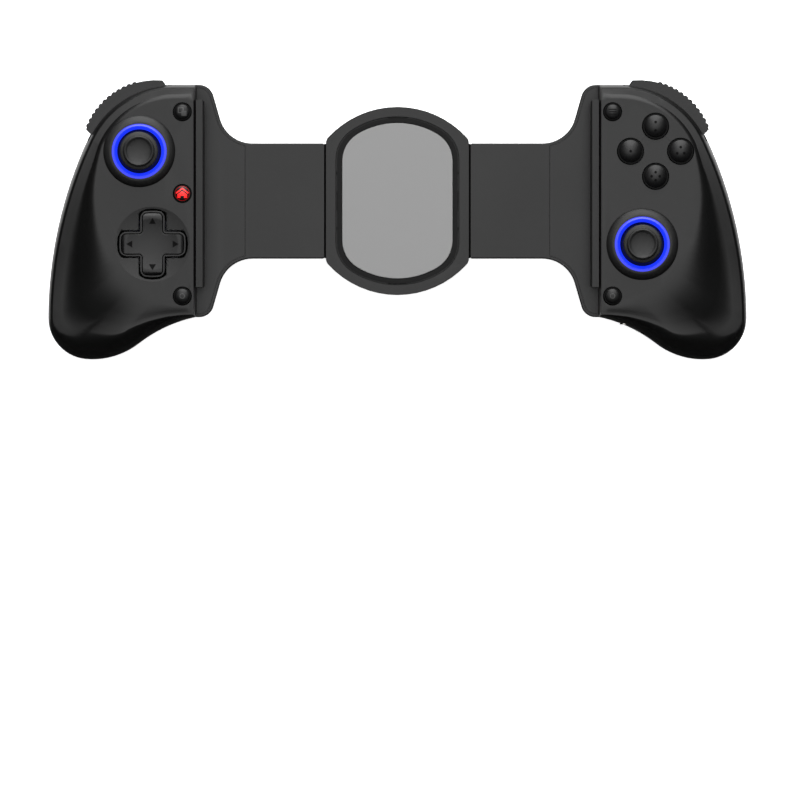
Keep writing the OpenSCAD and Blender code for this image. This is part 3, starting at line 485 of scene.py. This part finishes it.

# %% [markdown]
# ## Finger pieces
# Bumpers, triggers, stick caps and keys are mouldings too, with larger edge radii because fingers run over
# them. Each key is a dome on a low ledge. The ledge lies in the shade of its well, and a darker, duller
# finish paints that shade on it.

# %% Bumpers, triggers, caps and keys
SKIRT = 0.6 * MM
keys = {}
for side in SIDES:
    dress(bumper_charcoal, "bumper_charcoal", moulded_copy(f"{side}_bumper", f"{side}_shoulder_key", 0.25))
    dress(bumper_charcoal, "bumper_charcoal", moulded_copy(f"{side}_trigger", f"{side}_finger_key", 0.5, 3))
    dress(stick_rubber, "stick_black", moulded_copy(f"{side}_stick_cap", f"{side}_thumb_cap", 0.12))
for key in ("north", "south", "east", "west", "view", "capture", "home", "menu", "turbo"):
    keys[key] = moulded_copy(f"{key}_button", f"{key}_key", 0.26)
    dress(key_black, "key_black", keys[key])
    low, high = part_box(f"{key}_button")
    middle, radius = (low + high) / 2, min(high.x - low.x, high.y - low.y) / 2
    # Painted shade: the ledge of each key gets a darker, duller finish for the shade of its well.
    paint(keys[key], skirt_painted_shade, lambda point: away(middle, point) > radius - SKIRT)

# %% [markdown]
# ## Direction pad
# The pad is a cross with bowed ends. It stands on a stem in two tiers: a flat band all around, then a step
# up to a top that is dished for the thumb and falls off at its four ends, with a groove between them. Two
# bars joined by a Boolean give the cross, big cylinders bow its ends, insets of its top face make groove
# and tiers, and bisecting planes cut the ends. The stem stays the one from CAD, cut off below the cross.

# %% Cross in two tiers
PAD_ARM, PAD_TRIM = 9.0 * MM, 0.65 * MM
PAD_BOTTOM, PAD_BAND_TOP = 32 * MM, 37.1 * MM
END_BOW, BOW_STEPS, STEM_LAP, WELD = 21 * MM, 192, 0.02 * MM, 0.1 * MM
OUTER_CORNER, INNER_CORNER, CORNER_STEPS = 2.6 * MM, 0.5 * MM, 6
BAND, GROOVE_WIDTH, GROOVE_DEPTH, STEP_HEIGHT = 0.58 * MM, 0.18 * MM, 0.45 * MM, 0.85 * MM
FALL_START, FALL_ANGLE = 1.8 * MM, math.radians(25)
PAD_DISH_RADIUS, PAD_DISH_DEPTH, PAD_DISH_RINGS = 9.8 * MM, 0.8 * MM, 144
WAYS = [Vector((math.cos(turn), math.sin(turn), 0)) for turn in (0, math.pi / 2, math.pi, 3 * math.pi / 2)]


def upright_edges(cross, place, inner):
    """Keys of the upright edges at the inner or else at the outer corners of the cross."""
    found = set()
    for edge in cross.data.edges:
        a, b = (cross.data.vertices[end].co - place for end in edge.vertices)
        near, far = sorted((abs(a.x), abs(a.y)))
        if (a - b).to_2d().length < TOUCH and near > PAD_ARM / 2 - TOUCH and (far < PAD_ARM) == inner:
            found.add(tuple(edge.key))
    return found


def cross_outline(place, span, tall):
    """A straight cross with rounded corners and bowed ends."""
    cross = block("direction_pad", place, (span, PAD_ARM, tall))
    combine(cross, block("bar", place, (PAD_ARM, span, tall)), "UNION")
    for corner, inner in ((OUTER_CORNER, False), (INNER_CORNER, True)):
        chosen = upright_edges(cross, place, inner)
        edit_edges(cross, lambda key: key in chosen)
        bpy.ops.mesh.bevel(offset=corner, segments=CORNER_STEPS, affect="EDGES")
        end_edit()
    for way in WAYS:
        bpy.ops.object.select_all(action="DESELECT")
        bpy.ops.mesh.primitive_cylinder_add(vertices=BOW_STEPS, radius=END_BOW, depth=2 * tall,
                                            location=place - way * (END_BOW - span / 2))
        combine(cross, settle("bow"), "INTERSECT")
    edit(cross)
    bpy.ops.mesh.remove_doubles(threshold=WELD)
    bpy.ops.mesh.dissolve_limited(angle_limit=math.radians(0.4))
    end_edit()
    return cross


def stem_of_pad():
    """The CAD pad cut off just above the foot of the new cross."""
    stem = merged_copy("dpad", "stem")
    edit(stem)
    bpy.ops.mesh.bisect(plane_co=(0, 0, PAD_BOTTOM + STEM_LAP), plane_no=(0, 0, 1),
                        use_fill=True, clear_outer=True)
    end_edit()
    return stem


low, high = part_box("dpad")
middle, span = (low + high) / 2, high.x - low.x - PAD_TRIM
tall = PAD_BAND_TOP - PAD_BOTTOM
pad = cross_outline(Vector((middle.x, middle.y, PAD_BOTTOM + tall / 2)), span, tall)
edit_faces(pad, lambda face: face.normal.z > 0.9)
bpy.ops.mesh.inset(thickness=BAND)
bpy.ops.mesh.inset(thickness=GROOVE_WIDTH, depth=-GROOVE_DEPTH)
bpy.ops.mesh.inset(thickness=GROOVE_WIDTH, depth=GROOVE_DEPTH + STEP_HEIGHT)
end_edit()
summit = Vector((middle.x, middle.y, PAD_BAND_TOP + STEP_HEIGHT))
for way in WAYS:
    edit(pad)
    bpy.ops.mesh.bisect(plane_co=summit + way * (span / 2 - FALL_START),
                        plane_no=way * math.sin(FALL_ANGLE) + Vector((0, 0, math.cos(FALL_ANGLE))),
                        use_fill=True, clear_outer=True)
    end_edit()
combine(pad, ball(summit, PAD_DISH_RADIUS, PAD_DISH_DEPTH, PAD_DISH_RINGS), "DIFFERENCE")
pad = join("direction_pad", [pad, stem_of_pad()])
round_edges(pad, 0.1)
smooth(pad)
take_over(pad, "dpad")
dress(key_black, "key_black", pad)
keys["dpad"] = pad
reach = [max(abs(point.co[axis] - middle[axis]) for point in pad.data.vertices) / MM for axis in (0, 1)]
print(pad.name, "faces", len(pad.data.polygons), "half spans", [round(value, 2) for value in reach])

# %% [markdown]
# ## Light rings
# A ring of clear plastic around each stick spreads the light of a few diodes below it. Its glow also carries
# painted light and shade of its rounded face: a deeper blue towards the stick, where the ring dips, as
# painted shade, a paler blue on its crown as a painted highlight, and a dark blue at its outer edge, where
# it meets the collar, as painted shade. The colour is a ramp over the distance from the stick's axis, so the
# Mapping node puts the axis at the ring's own middle.

# %% Glowing ring
SHADED_BLUE, HIGHLIGHT_BLUE, EDGE_SHADE_BLUE = (0.008, 0.032, 1.0), (0.075, 0.09, 1.0), (0.01, 0.012, 0.06)


def glow(name, low, high, inner):
    """low and high are the corners of the ring's box, inner the radius of its bore."""
    material, start, place = new_finish(name)
    middle = (low + high) / 2
    outer = (high.x - low.x) / 2
    local = start.node("Mapping", {}, {"Vector": place, "Location": (-middle.x, -middle.y, 0)})
    x = start.node("SeparateXYZ", {}, {"Vector": local}, output="X")
    y = start.node("SeparateXYZ", {}, {"Vector": local}, output="Y")
    radius = start.calculate("SQRT", x * x + y * y)
    across = start.node("MapRange", {}, {"Value": radius, "From Min": inner, "From Max": outer})
    mottle = start.node("TexNoise", {}, {"Vector": place, "Scale": 300, "Detail": 2})
    # The ramp paints shade and highlight into the glow: deeper blue on the inner slope, paler blue on the
    # crown, dark at the edge.
    colour = start.node("ValToRGB", {"stops": [
        (0.0, SHADED_BLUE), (0.36, SHADED_BLUE), (0.5, HIGHLIGHT_BLUE), (0.84, HIGHLIGHT_BLUE), (0.97, EDGE_SHADE_BLUE)]},
        {"Fac": across + (mottle - 0.5) * 0.06})
    surface = start.node("BsdfPrincipled", {}, {
        "Base Color": (0.01, 0.02, 0.2, 1), "Roughness": 0.3 + mottle * 0.1,
        "Emission Color": colour, "Emission Strength": 0.95})
    start.node("OutputMaterial", {}, {"Surface": surface})
    return material


RING_BORE = 8.15 * MM
for side in SIDES:
    low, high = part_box(f"{side}_light_ring")
    ring = moulded_copy(f"{side}_light_ring", f"{side}_glow_ring", 0.1)
    dress(glow(f"{side}_glow", low, high, RING_BORE), "light_blue", ring)

# %% [markdown]
# ## Printed marks
# Keys carry small printed marks: arrows, a house for home, a menu and a window sign, and dots that count
# the four face keys. Each is a flat figure made from circles and planes, laid on its key from above by
# Shrinkwrap, and given the thickness of a coat of paint by Solidify, so it follows the dome of the key.

# %% Flat figures
def disc_figure(name, at, radius, corners=32, turn=0.0):
    bpy.ops.object.select_all(action="DESELECT")
    bpy.ops.mesh.primitive_circle_add(vertices=corners, radius=radius * MM, fill_type="TRIFAN", location=at,
                                      rotation=(0, 0, turn))
    return settle(name)


def bar_figure(name, at, width, height, corner=0.08):
    """A rounded rectangle, sizes in millimetres."""
    bpy.ops.object.select_all(action="DESELECT")
    bpy.ops.mesh.primitive_plane_add(size=MM, location=at)
    bpy.context.object.scale = (width, height, 1)
    piece = settle(name)
    edit(piece)
    bpy.ops.mesh.bevel(offset=corner * MM, segments=3, affect="VERTICES")
    end_edit()
    return piece


def hollow_figure(piece, line):
    """Leaves only a line of this width in millimetres along the figure's edge."""
    edit(piece)
    bpy.ops.mesh.dissolve_faces()
    bpy.ops.mesh.inset(thickness=line * MM)
    bpy.ops.mesh.delete(type="FACE")
    end_edit()
    return piece


def print_on(key, name, figures, material, thick=0.05):
    """Lays the joined figures on the top of a key as a printed mark."""
    mark = join(name, figures)
    edit(mark)
    bpy.ops.mesh.quads_convert_to_tris()
    bpy.ops.mesh.subdivide(number_cuts=2)
    end_edit()
    apply_modifier(mark, "SHRINKWRAP", target=keys[key], wrap_method="PROJECT", use_project_z=True,
                   use_negative_direction=True, use_positive_direction=False)
    apply_modifier(mark, "SOLIDIFY", thickness=2 * thick * MM, offset=0)
    dress(material, "key_black", mark)
    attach(mark, keys[key]["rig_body"])
    return mark


def above(key):
    """A point above the middle of a key."""
    low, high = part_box(key if key == "dpad" else f"{key}_button")
    return Vector(((low.x + high.x) / 2, (low.y + high.y) / 2, high.z + MM))


ink_black = moulding("ink_black", (0.003, 0.003, 0.003), 0.6, 0.1, 0.002, gloss=0.06)
ink_grey = moulding("ink_grey", (0.06, 0.06, 0.06), 0.5, 0.1, 0.002)

# %% Arrows, dots and signs
ARROW_OUT, ARROW_SIZE = 8.2, 1.5
for count, heading in enumerate((90, 0, 270, 180)):
    way = Vector((math.cos(math.radians(heading)), math.sin(math.radians(heading)), 0))
    place = above("dpad") + way * ARROW_OUT * MM
    arrow = disc_figure("arrow", place, ARROW_SIZE, 3, math.radians(heading - 90))
    print_on("dpad", f"arrow_{count}", [arrow], ink_black)

DOT_RING, DOT_SIZE = 1.5, 0.5
for count, key in enumerate(("west", "north", "east", "south"), start=1):
    dots = []
    for step in range(count):
        turn = 2 * math.pi * step / count + math.pi / 2
        way = Vector((math.cos(turn), math.sin(turn), 0)) * (DOT_RING if count > 1 else 0)
        dots.append(disc_figure("dot", above(key) + way * MM, DOT_SIZE, 16))
    print_on(key, f"{key}_dots", dots, ink_black)

LINE_LONG, LINE_WIDE, LINE_PITCH = 2.9, 0.36, 0.85
lines = [bar_figure("line", above("menu") + Vector((0, row * LINE_PITCH * MM, 0)), LINE_LONG, LINE_WIDE)
         for row in (-1, 0, 1)]
print_on("menu", "menu_sign", lines, ink_black)
BACK_SHIFT, BACK_SIZE, BACK_LINE = Vector((-0.55, 0.55, 0)), 2.1, 0.32
FRONT_SHIFT, FRONT_SIZE = Vector((0.65, -0.6, 0)), 1.9
back_window = bar_figure("window", above("view") + BACK_SHIFT * MM, BACK_SIZE, BACK_SIZE)
front_window = bar_figure("window", above("view") + FRONT_SHIFT * MM, FRONT_SIZE, FRONT_SIZE)
print_on("view", "window_sign", [hollow_figure(back_window, BACK_LINE), front_window], ink_grey)
RING_SIZE, RING_LINE = 1, 0.3
for key in ("capture", "turbo"):
    ring = hollow_figure(disc_figure("dot", above(key), RING_SIZE), RING_LINE)
    print_on(key, f"{key}_dot", [ring], ink_grey)

# %% [markdown]
# ## Home sign
# The home key shows a small house within a thin circle, lit red from behind through translucent print. Two
# turned bars make the roof, a stretched triangle the gable, and three bars the walls and the lintel over
# the door.

# %% House in its red circle
def lit_print(name, colour):
    """Translucent print with a lamp behind it; the light varies a little over the sign."""
    material, start, place = new_finish(name)
    mottle = start.node("TexNoise", {}, {"Vector": place, "Scale": 500, "Detail": 2})
    tone = start.node("Mix", {"data_type": "RGBA"}, {
        0: mottle, 6: shade(colour, 0.75), 7: shade(colour, 1.1)}, output=2)
    surface = start.node("BsdfPrincipled", {}, {
        "Base Color": tone, "Roughness": 0.35 + mottle * 0.1,
        "Emission Color": tone, "Emission Strength": 0.75})
    start.node("OutputMaterial", {}, {"Surface": surface})
    return material


RAFTER_OUT, RAFTER_UP, RAFTER_LONG, RAFTER_WIDE, ROOF_ANGLE = 1.08, 1.0, 3.0, 0.5, math.radians(38)
GABLE_UP, GABLE_RADIUS, GABLE_STRETCH = 0.1, 1.2, (1.7, 0.72, 1)
WALL_OUT, WALL_DOWN, WALL_WIDE, WALL_TALL, HOUSE_CORNER = 1.2, 1.15, 1.15, 1.0, 0.03
LINTEL_DOWN, LINTEL_LONG, LINTEL_TALL = 0.56, 3.55, 0.6
CIRCLE_RADIUS, CIRCLE_LINE = 2.7, 0.16
home = above("home")


def from_home(x, y):
    return home + Vector((x, y, 0)) * MM


roof = []
for sign in (-1, 1):
    rafter = from_home(sign * RAFTER_OUT, RAFTER_UP)
    slope = bar_figure("roof", rafter, RAFTER_LONG, RAFTER_WIDE)
    edit(slope)
    bpy.ops.transform.rotate(value=sign * ROOF_ANGLE, orient_axis="Z", center_override=rafter)
    end_edit()
    roof.append(slope)
gable = disc_figure("gable", from_home(0, GABLE_UP), GABLE_RADIUS, 3)
edit(gable)
bpy.ops.transform.resize(value=GABLE_STRETCH, center_override=home)
end_edit()
walls = [bar_figure("wall", from_home(x, -WALL_DOWN), WALL_WIDE, WALL_TALL, HOUSE_CORNER)
         for x in (-WALL_OUT, WALL_OUT)]
lintel = bar_figure("lintel", from_home(0, -LINTEL_DOWN), LINTEL_LONG, LINTEL_TALL, HOUSE_CORNER)
sign_red = lit_print("sign_red", (0.9, 0.012, 0.012))
print_on("home", "home_sign", [*roof, gable, lintel, *walls], sign_red)
circle = hollow_figure(disc_figure("circle", home, CIRCLE_RADIUS, 48), CIRCLE_LINE)
print_on("home", "home_circle", [circle], lit_print("circle_red", (0.25, 0.004, 0.004)))
print("house figures", len(roof) + len(walls) + 2)

# %% [markdown]
# ## Metal
# Pins, springs, screws and the port's shell are metal. Drawn or turned metal has fine lines along the way
# that it was worked, so a noise stretched along one axis drives both its gloss and a shallow bump.

# %% Drawn and plated metal
def metal(name, colour, rough, along=(1, 1, 1), relief=0.004):
    """along stretches the working lines: a small number draws them out in that direction."""
    material, start, place = new_finish(name)
    drawn = start.node("Mapping", {}, {"Vector": place, "Scale": along})
    lines = start.node("TexNoise", {}, {"Vector": drawn, "Scale": 4000, "Detail": 3})
    stain = start.node("TexNoise", {}, {"Vector": place, "Scale": 220, "Detail": 3})
    tone = start.node("Mix", {"data_type": "RGBA"}, {
        0: lines * 0.5 + stain * 0.5, 6: shade(colour, 0.8), 7: shade(colour, 1.15)}, output=2)
    bump = start.node("Bump", {}, {"Strength": 0.5, "Distance": relief * MM, "Height": lines})
    dull = rough + (lines - 0.5) * 0.12 + (stain - 0.5) * 0.1
    surface = start.node("BsdfPrincipled", {}, {
        "Base Color": tone, "Metallic": 1.0, "Roughness": dull, "Normal": bump})
    start.node("OutputMaterial", {}, {"Surface": surface})
    return material


pin_steel = metal("pin_steel", (0.5, 0.5, 0.51), 0.28, (1, 1, 0.05))
spring_wire = metal("spring_wire", (0.45, 0.45, 0.46), 0.3)
screw_oxide = metal("screw_oxide", (0.03, 0.03, 0.031), 0.38)
port_nickel = metal("port_nickel", (0.6, 0.58, 0.54), 0.24, (1, 0.1, 1))
contact_gold = metal("contact_gold", (0.85, 0.58, 0.2), 0.22, (1, 0.1, 1))
pins = [frame["nodes"][node] for node in ("pinion_pin", "left_pins", "right_pins", "dpad_ball")]
dress(pin_steel, "steel", *pins)
print("steel pins", len(pins))

# %% [markdown]
# ## Screws
# The backs are closed by small cross-head screws. One of each kind is modelled: a cylinder whose outer rim
# is bevelled, a shank drawn out of its inner face, and a cross sunk into the head by a Boolean with two
# crossed bars. Copies go where the CAD screws are, which are found by splitting the CAD node into its loose
# solids.

# %% Loose solids of a node
def solids_of(node):
    """Boxes of the separate solids in a node, as pairs of corners."""
    piece = merged_copy(node, "solids")
    edit(piece)
    bpy.ops.mesh.separate(type="LOOSE")
    end_edit()
    parts = [p for p in bpy.context.selected_objects if p.name.startswith("solids")]
    boxes = []
    for part in parts:
        points = [v.co for v in part.data.vertices]
        boxes.append((Vector([min(p[i] for p in points) for i in range(3)]),
                      Vector([max(p[i] for p in points) for i in range(3)])))
    select_only(*parts)
    bpy.ops.object.delete()
    return boxes


def moved_copy(piece, shift):
    """A copy with its own mesh, moved within that mesh."""
    select_only(piece)
    bpy.ops.object.duplicate()
    copy = bpy.context.object
    edit(copy)
    bpy.ops.transform.translate(value=shift)
    end_edit()
    return copy


# %% One screw, then copies
HEAD_EDGE, SHANK_INSET, TIP_EDGE = 0.07, 0.3, 0.06
CROSS_LONG, CROSS_WIDE = 0.62, 0.16


def screw(name, low, high, head):
    """A screw in the box from low to high whose head, of this height, looks down."""
    middle = Vector(((low.x + high.x) / 2, (low.y + high.y) / 2, low.z + head / 2))
    width = high.x - low.x
    bpy.ops.object.select_all(action="DESELECT")
    bpy.ops.mesh.primitive_cylinder_add(vertices=32, radius=width / 2, depth=head, location=middle)
    piece = settle(name)
    edit_faces(piece, lambda face: face.normal.z < -0.9)
    bpy.ops.mesh.bevel(offset=width * HEAD_EDGE, segments=3, affect="EDGES")
    end_edit()
    edit_faces(piece, lambda face: face.normal.z > 0.9)
    bpy.ops.mesh.inset(thickness=width * SHANK_INSET)
    bpy.ops.mesh.extrude_region_move(TRANSFORM_OT_translate={"value": (0, 0, high.z - low.z - head)})
    bpy.ops.mesh.bevel(offset=width * TIP_EDGE, segments=2, affect="EDGES")
    end_edit()
    sunk = Vector((middle.x, middle.y, low.z))
    bars = [block("bar", sunk, (width * x, width * y, head))
            for x, y in ((CROSS_LONG, CROSS_WIDE), (CROSS_WIDE, CROSS_LONG))]
    combine(piece, join("cross", bars), "DIFFERENCE")
    smooth(piece)
    return piece


for node, head in (("left_screws", 1.8), ("right_screws", 1.8), ("centre_screws", 1.2)):
    (first_low, first_high), *others = solids_of(node)
    screws = [screw("screw", first_low, first_high, head * MM)]
    screws += [moved_copy(screws[0], low - first_low) for low, high in others]
    print(node, "screws", len(screws))
    fasteners = join(node.replace("screws", "fasteners"), screws)
    dress(screw_oxide, "screw_black", fasteners)
    take_over(fasteners, node)

# %% [markdown]
# ## Return springs
# Two wound springs in the rail pull the grips together. A coil is a small circle of wire that the Screw
# modifier winds around the X axis, and two straight legs hook it to the rail and to the grip.

# %% Wound coils
WIRE, COIL, PITCH = 0.3 * MM, 1.5 * MM, 1.35 * MM
WIRE_SIDES, TURN_STEPS = 10, 14


def wire_leg(place, length):
    bpy.ops.object.select_all(action="DESELECT")
    bpy.ops.mesh.primitive_cylinder_add(vertices=WIRE_SIDES, radius=WIRE, depth=length, location=place,
                                        rotation=(0, math.pi / 2, 0))
    return settle("leg")


def spring(name, start, end, leg_in, leg_out, y, z):
    """A coil from start to end along X, with legs that reach on to leg_in and leg_out."""
    bpy.ops.object.select_all(action="DESELECT")
    bpy.ops.mesh.primitive_circle_add(vertices=WIRE_SIDES, radius=WIRE, location=(0, 0, COIL),
                                      rotation=(math.pi / 2, 0, 0))
    coil = settle(name)
    turns = round(abs(end - start) / PITCH)
    apply_modifier(coil, "SCREW", axis="X", angle=2 * math.pi * turns, screw_offset=end - start,
                   steps=TURN_STEPS * turns, render_steps=TURN_STEPS * turns, use_smooth_shade=True)
    edit(coil)
    bpy.ops.mesh.normals_make_consistent(inside=False)
    bpy.ops.transform.translate(value=(start, y, z))
    end_edit()
    legs = [wire_leg(((a + b) / 2, y, z + COIL), abs(b - a)) for a, b in ((leg_in, start), (end, leg_out))]
    return join(name, [coil, *legs])


low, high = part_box("return_springs")
COIL_START, COIL_END, LEG_START = 9 * MM, high.x - 9.6 * MM, 4.6 * MM
for side, sign, y in (("left", -1, low.y), ("right", 1, high.y)):
    axis_y = y - sign * (COIL + WIRE)
    axis_z = (low.z + high.z) / 2
    piece = spring(f"{side}_spring", sign * COIL_START, sign * COIL_END, sign * LEG_START, sign * high.x,
                   axis_y, axis_z)
    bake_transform(piece)
    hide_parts("return_springs")
    dress(spring_wire, "spring_steel", piece)
    print(piece.name, "faces", len(piece.data.polygons))

# %% [markdown]
# ## Mechanism and electronics
# Racks, pinion, yokes and posts are pale nylon, boards have traces under a dark green mask, membranes are
# grey silicone. Little of it shows, but the rail is open at the back once the grips are drawn apart.

# %% Inside finishes
nylon = moulding("nylon", (0.62, 0.6, 0.53), 0.45, 0.25, 0.01, gloss=0.4, spread=0.06)
module_black = moulding("module_black", (0.02, 0.02, 0.021), 0.45, 0.15, 0.01)
silicone = moulding("silicone", (0.2, 0.21, 0.22), 0.55, 0.2, 0.01, spread=0.1)
foil = moulding("foil", (0.3, 0.35, 0.41), 0.35, 1.6, 0.08, gloss=0.5, spread=0.1)


def circuit(name):
    """Traces and covered vias under solder mask, drawn by the cells of a right-angled pattern."""
    material, start, place = new_finish(name)
    cells = start.node("TexVoronoi", {"feature": "F1", "distance": "MANHATTAN"},
                       {"Vector": place, "Scale": 420})
    trace = start.calculate("LESS_THAN", start.calculate("ABSOLUTE", cells - 0.42), 0.05)
    via = start.calculate("LESS_THAN", cells, 0.08)
    mask = start.node("Mix", {"data_type": "RGBA"}, {
        0: trace, 6: (0.002, 0.006, 0.004, 1), 7: (0.004, 0.014, 0.008, 1)}, output=2)
    tone = start.node("Mix", {"data_type": "RGBA"}, {0: via, 6: mask, 7: (0.012, 0.01, 0.006, 1)}, output=2)
    bump = start.node("Bump", {}, {"Strength": 0.5, "Distance": 0.03 * MM, "Height": trace})
    surface = start.node("BsdfPrincipled", {}, {
        "Base Color": tone, "Roughness": 0.5 - via * 0.12, "Normal": bump, "Specular IOR Level": 0.15})
    start.node("OutputMaterial", {}, {"Surface": surface})
    return material


board_green = circuit("board_green")
for side in SIDES:
    dress(nylon, "nylon", moulded_copy(f"{side}_rack", f"{side}_toothed_bar", 0.08))
    dress(board_green, "board_green", frame["nodes"][f"{side}_board"])
    dress(module_black, "module_black", moulded_copy(f"{side}_stick_base", f"{side}_stick_module", 0.2))
    dress(nylon, "nylon", *(frame["nodes"][f"{side}_stick_{part}"] for part in ("yoke", "pivot", "lever")))
dress(nylon, "nylon", moulded_copy("sync_pinion", "gear_wheel", 0.08), frame["nodes"]["dpad_post"])
dress(silicone, "silicone", frame["nodes"]["dpad_membrane"], frame["nodes"]["face_membrane"])
dress(foil, "battery_wrap", moulded_copy("battery", "cell_pack", 0.8, 4))

# %% [markdown]
# ## Charging port
# The port is a drawn nickel shell around a thin black tongue, with gold contacts on both faces of the
# tongue. One contact is a bevelled strip, and the others are copies of it.

# %% Shell, tongue and contacts
port = moulded_copy("usb_port", "port_shell", 0.08)
dress(port_nickel, "port_metal", port)
port.data.materials.append(module_black)
low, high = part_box("usb_port")
middle = (low + high) / 2
TONGUE, TONGUE_ROOT = Vector((3.35, 0, 0.4)) * MM, 1 * MM
for face in port.data.polygons:
    offset = face.center - middle
    if abs(offset.x) < TONGUE.x and abs(offset.z) < TONGUE.z and face.center.y < high.y - TONGUE_ROOT:
        face.material_index = 1

CONTACTS, CONTACT_PITCH, CONTACT_LIFT, CONTACT_IN = 12, 0.5 * MM, 0.325 * MM, 3.6 * MM
CONTACT_SIZE, CONTACT_EDGE = Vector((0.26, 3.6, 0.06)) * MM, 0.015 * MM
places = [Vector((middle.x + (count - (CONTACTS - 1) / 2) * CONTACT_PITCH, low.y + CONTACT_IN,
                  middle.z + layer * CONTACT_LIFT)) for layer in (-1, 1) for count in range(CONTACTS)]
strip = block("strip", places[0], CONTACT_SIZE)
edit(strip)
bpy.ops.mesh.bevel(offset=CONTACT_EDGE, segments=1, affect="EDGES")
end_edit()
strips = [strip, *(moved_copy(strip, place - places[0]) for place in places[1:])]
contacts = join("port_contacts", strips)
dress(contact_gold, "port_metal", contacts)
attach(contacts, "right_grip")
print("contacts", len(strips))

# %% [markdown]
# ## Studio
# The picture looks straight down through a long lens. Two soft boxes overhead are what the flat faces
# mirror as an even grey, while slopes that lean away mirror the dark room and turn black. Three more beyond
# the top edge light the faces that lean that way. The floor is a white light table, and the steep walls at
# the outline pick up the pale bottom of the room as a thin rim.

# %% Camera
PICTURE_WIDTH = 296 * MM
PICTURE_MIDDLE = (0.96 * MM, -66.72 * MM)
PANEL_HEIGHT = 30 * MM
LENS, SENSOR = 600, 36
camera_data = bpy.data.cameras.new("camera")
camera_data.lens = LENS
camera_data.sensor_width = SENSOR
camera_data.clip_end = 100
camera = bpy.data.objects.new("camera", camera_data)
camera.location = (*PICTURE_MIDDLE, PANEL_HEIGHT + PICTURE_WIDTH * LENS / SENSOR)
bpy.context.scene.collection.objects.link(camera)
bpy.context.scene.camera = camera
bpy.context.scene.view_settings.view_transform = "Standard"
print("camera height", round(camera.location.z, 3))

# %% Floor
FLOOR_SIZE, FLOOR_DROP = 12, 0.2 * MM
bpy.ops.object.select_all(action="DESELECT")
bpy.ops.mesh.primitive_plane_add(size=FLOOR_SIZE, location=(0, 0, cad_low.z - FLOOR_DROP))
floor = settle("floor")
floor.visible_glossy = False
floor.visible_shadow = False
floor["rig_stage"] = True
table, start, place = new_finish("light_table")
surface = start.node("BsdfPrincipled", {}, {
    "Base Color": (0.9, 0.9, 0.9, 1), "Roughness": 0.8,
    "Emission Color": (1, 1, 1, 1), "Emission Strength": 0.9})
start.node("OutputMaterial", {}, {"Surface": surface})
floor.data.materials.append(table)
print("floor", FLOOR_SIZE, "m wide")

# %% Room
world = bpy.data.worlds.new("room")
bpy.context.scene.world = world
world.use_nodes = True
world.node_tree.nodes.clear()
room = Wire(world.node_tree)
ray = room.node("TexCoord", output="Generated")
up = room.node("SeparateXYZ", {}, {"Vector": ray}, output="Z")
ahead = room.node("SeparateXYZ", {}, {"Vector": ray}, output="Y")
LIGHTER_AHEAD, DARKER_BEHIND = 0.5, 2
ahead_part = room.calculate("MAXIMUM", ahead, 0) * LIGHTER_AHEAD
behind_part = room.calculate("MINIMUM", ahead, 0) * DARKER_BEHIND
slope = up - ahead_part - behind_part
ROOM_STOPS = [(0.0, 0.95), (0.05, 0.9), (0.09, 0.15), (0.15, 0.025), (1.0, 0.012)]
walls = room.node("ValToRGB", {"stops": [(place, (grey,) * 3) for place, grey in ROOM_STOPS]},
                  {"Fac": slope * 0.5 + 0.5})
seen = room.node("LightPath", output="Is Camera Ray")
view = room.node("Mix", {"data_type": "RGBA"}, {0: seen, 6: walls, 7: (0.8, 0.8, 0.8, 1)}, output=2)
sky = room.node("Background", {}, {"Color": view})
room.node("OutputWorld", {}, {"Surface": sky})
print("greys of the room", len(ROOM_STOPS))

# %% Lights
LIT_POINT = Vector((0, 0, 0.02))


def soft_light(name, place, width, depth, radiance):
    """A soft box that faces the controller; its power follows from the radiance that a mirror would show."""
    data = bpy.data.lights.new(name, "AREA")
    data.shape = "ELLIPSE"
    data.size = width
    data.size_y = depth
    data.energy = radiance * math.pi * math.pi * width * depth / 4
    lamp = bpy.data.objects.new(name, data)
    lamp.location = place
    lamp.rotation_euler = (LIT_POINT - Vector(place)).to_track_quat("-Z", "Y").to_euler()
    lamp.visible_camera = False
    bpy.context.scene.collection.objects.link(lamp)


soft_light("overhead", (0, 0.12, 2), 1.4, 1.4, 1.3)
soft_light("overhead_wide", (0, 0.38, 2.08), 2.7, 2.05, 1.0)
soft_light("top_fill", (0.1, 0.95, 1.95), 2.0, 0.9, 2.2)
soft_light("top_panel", (0.1, 1.95, 1.35), 2.6, 2.0, 5)
soft_light("top_strip", (0, 2.4, 0.1), 2.6, 0.5, 8)
print("lights", len(bpy.data.lights))

# %% Sizes and finish
low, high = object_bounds()
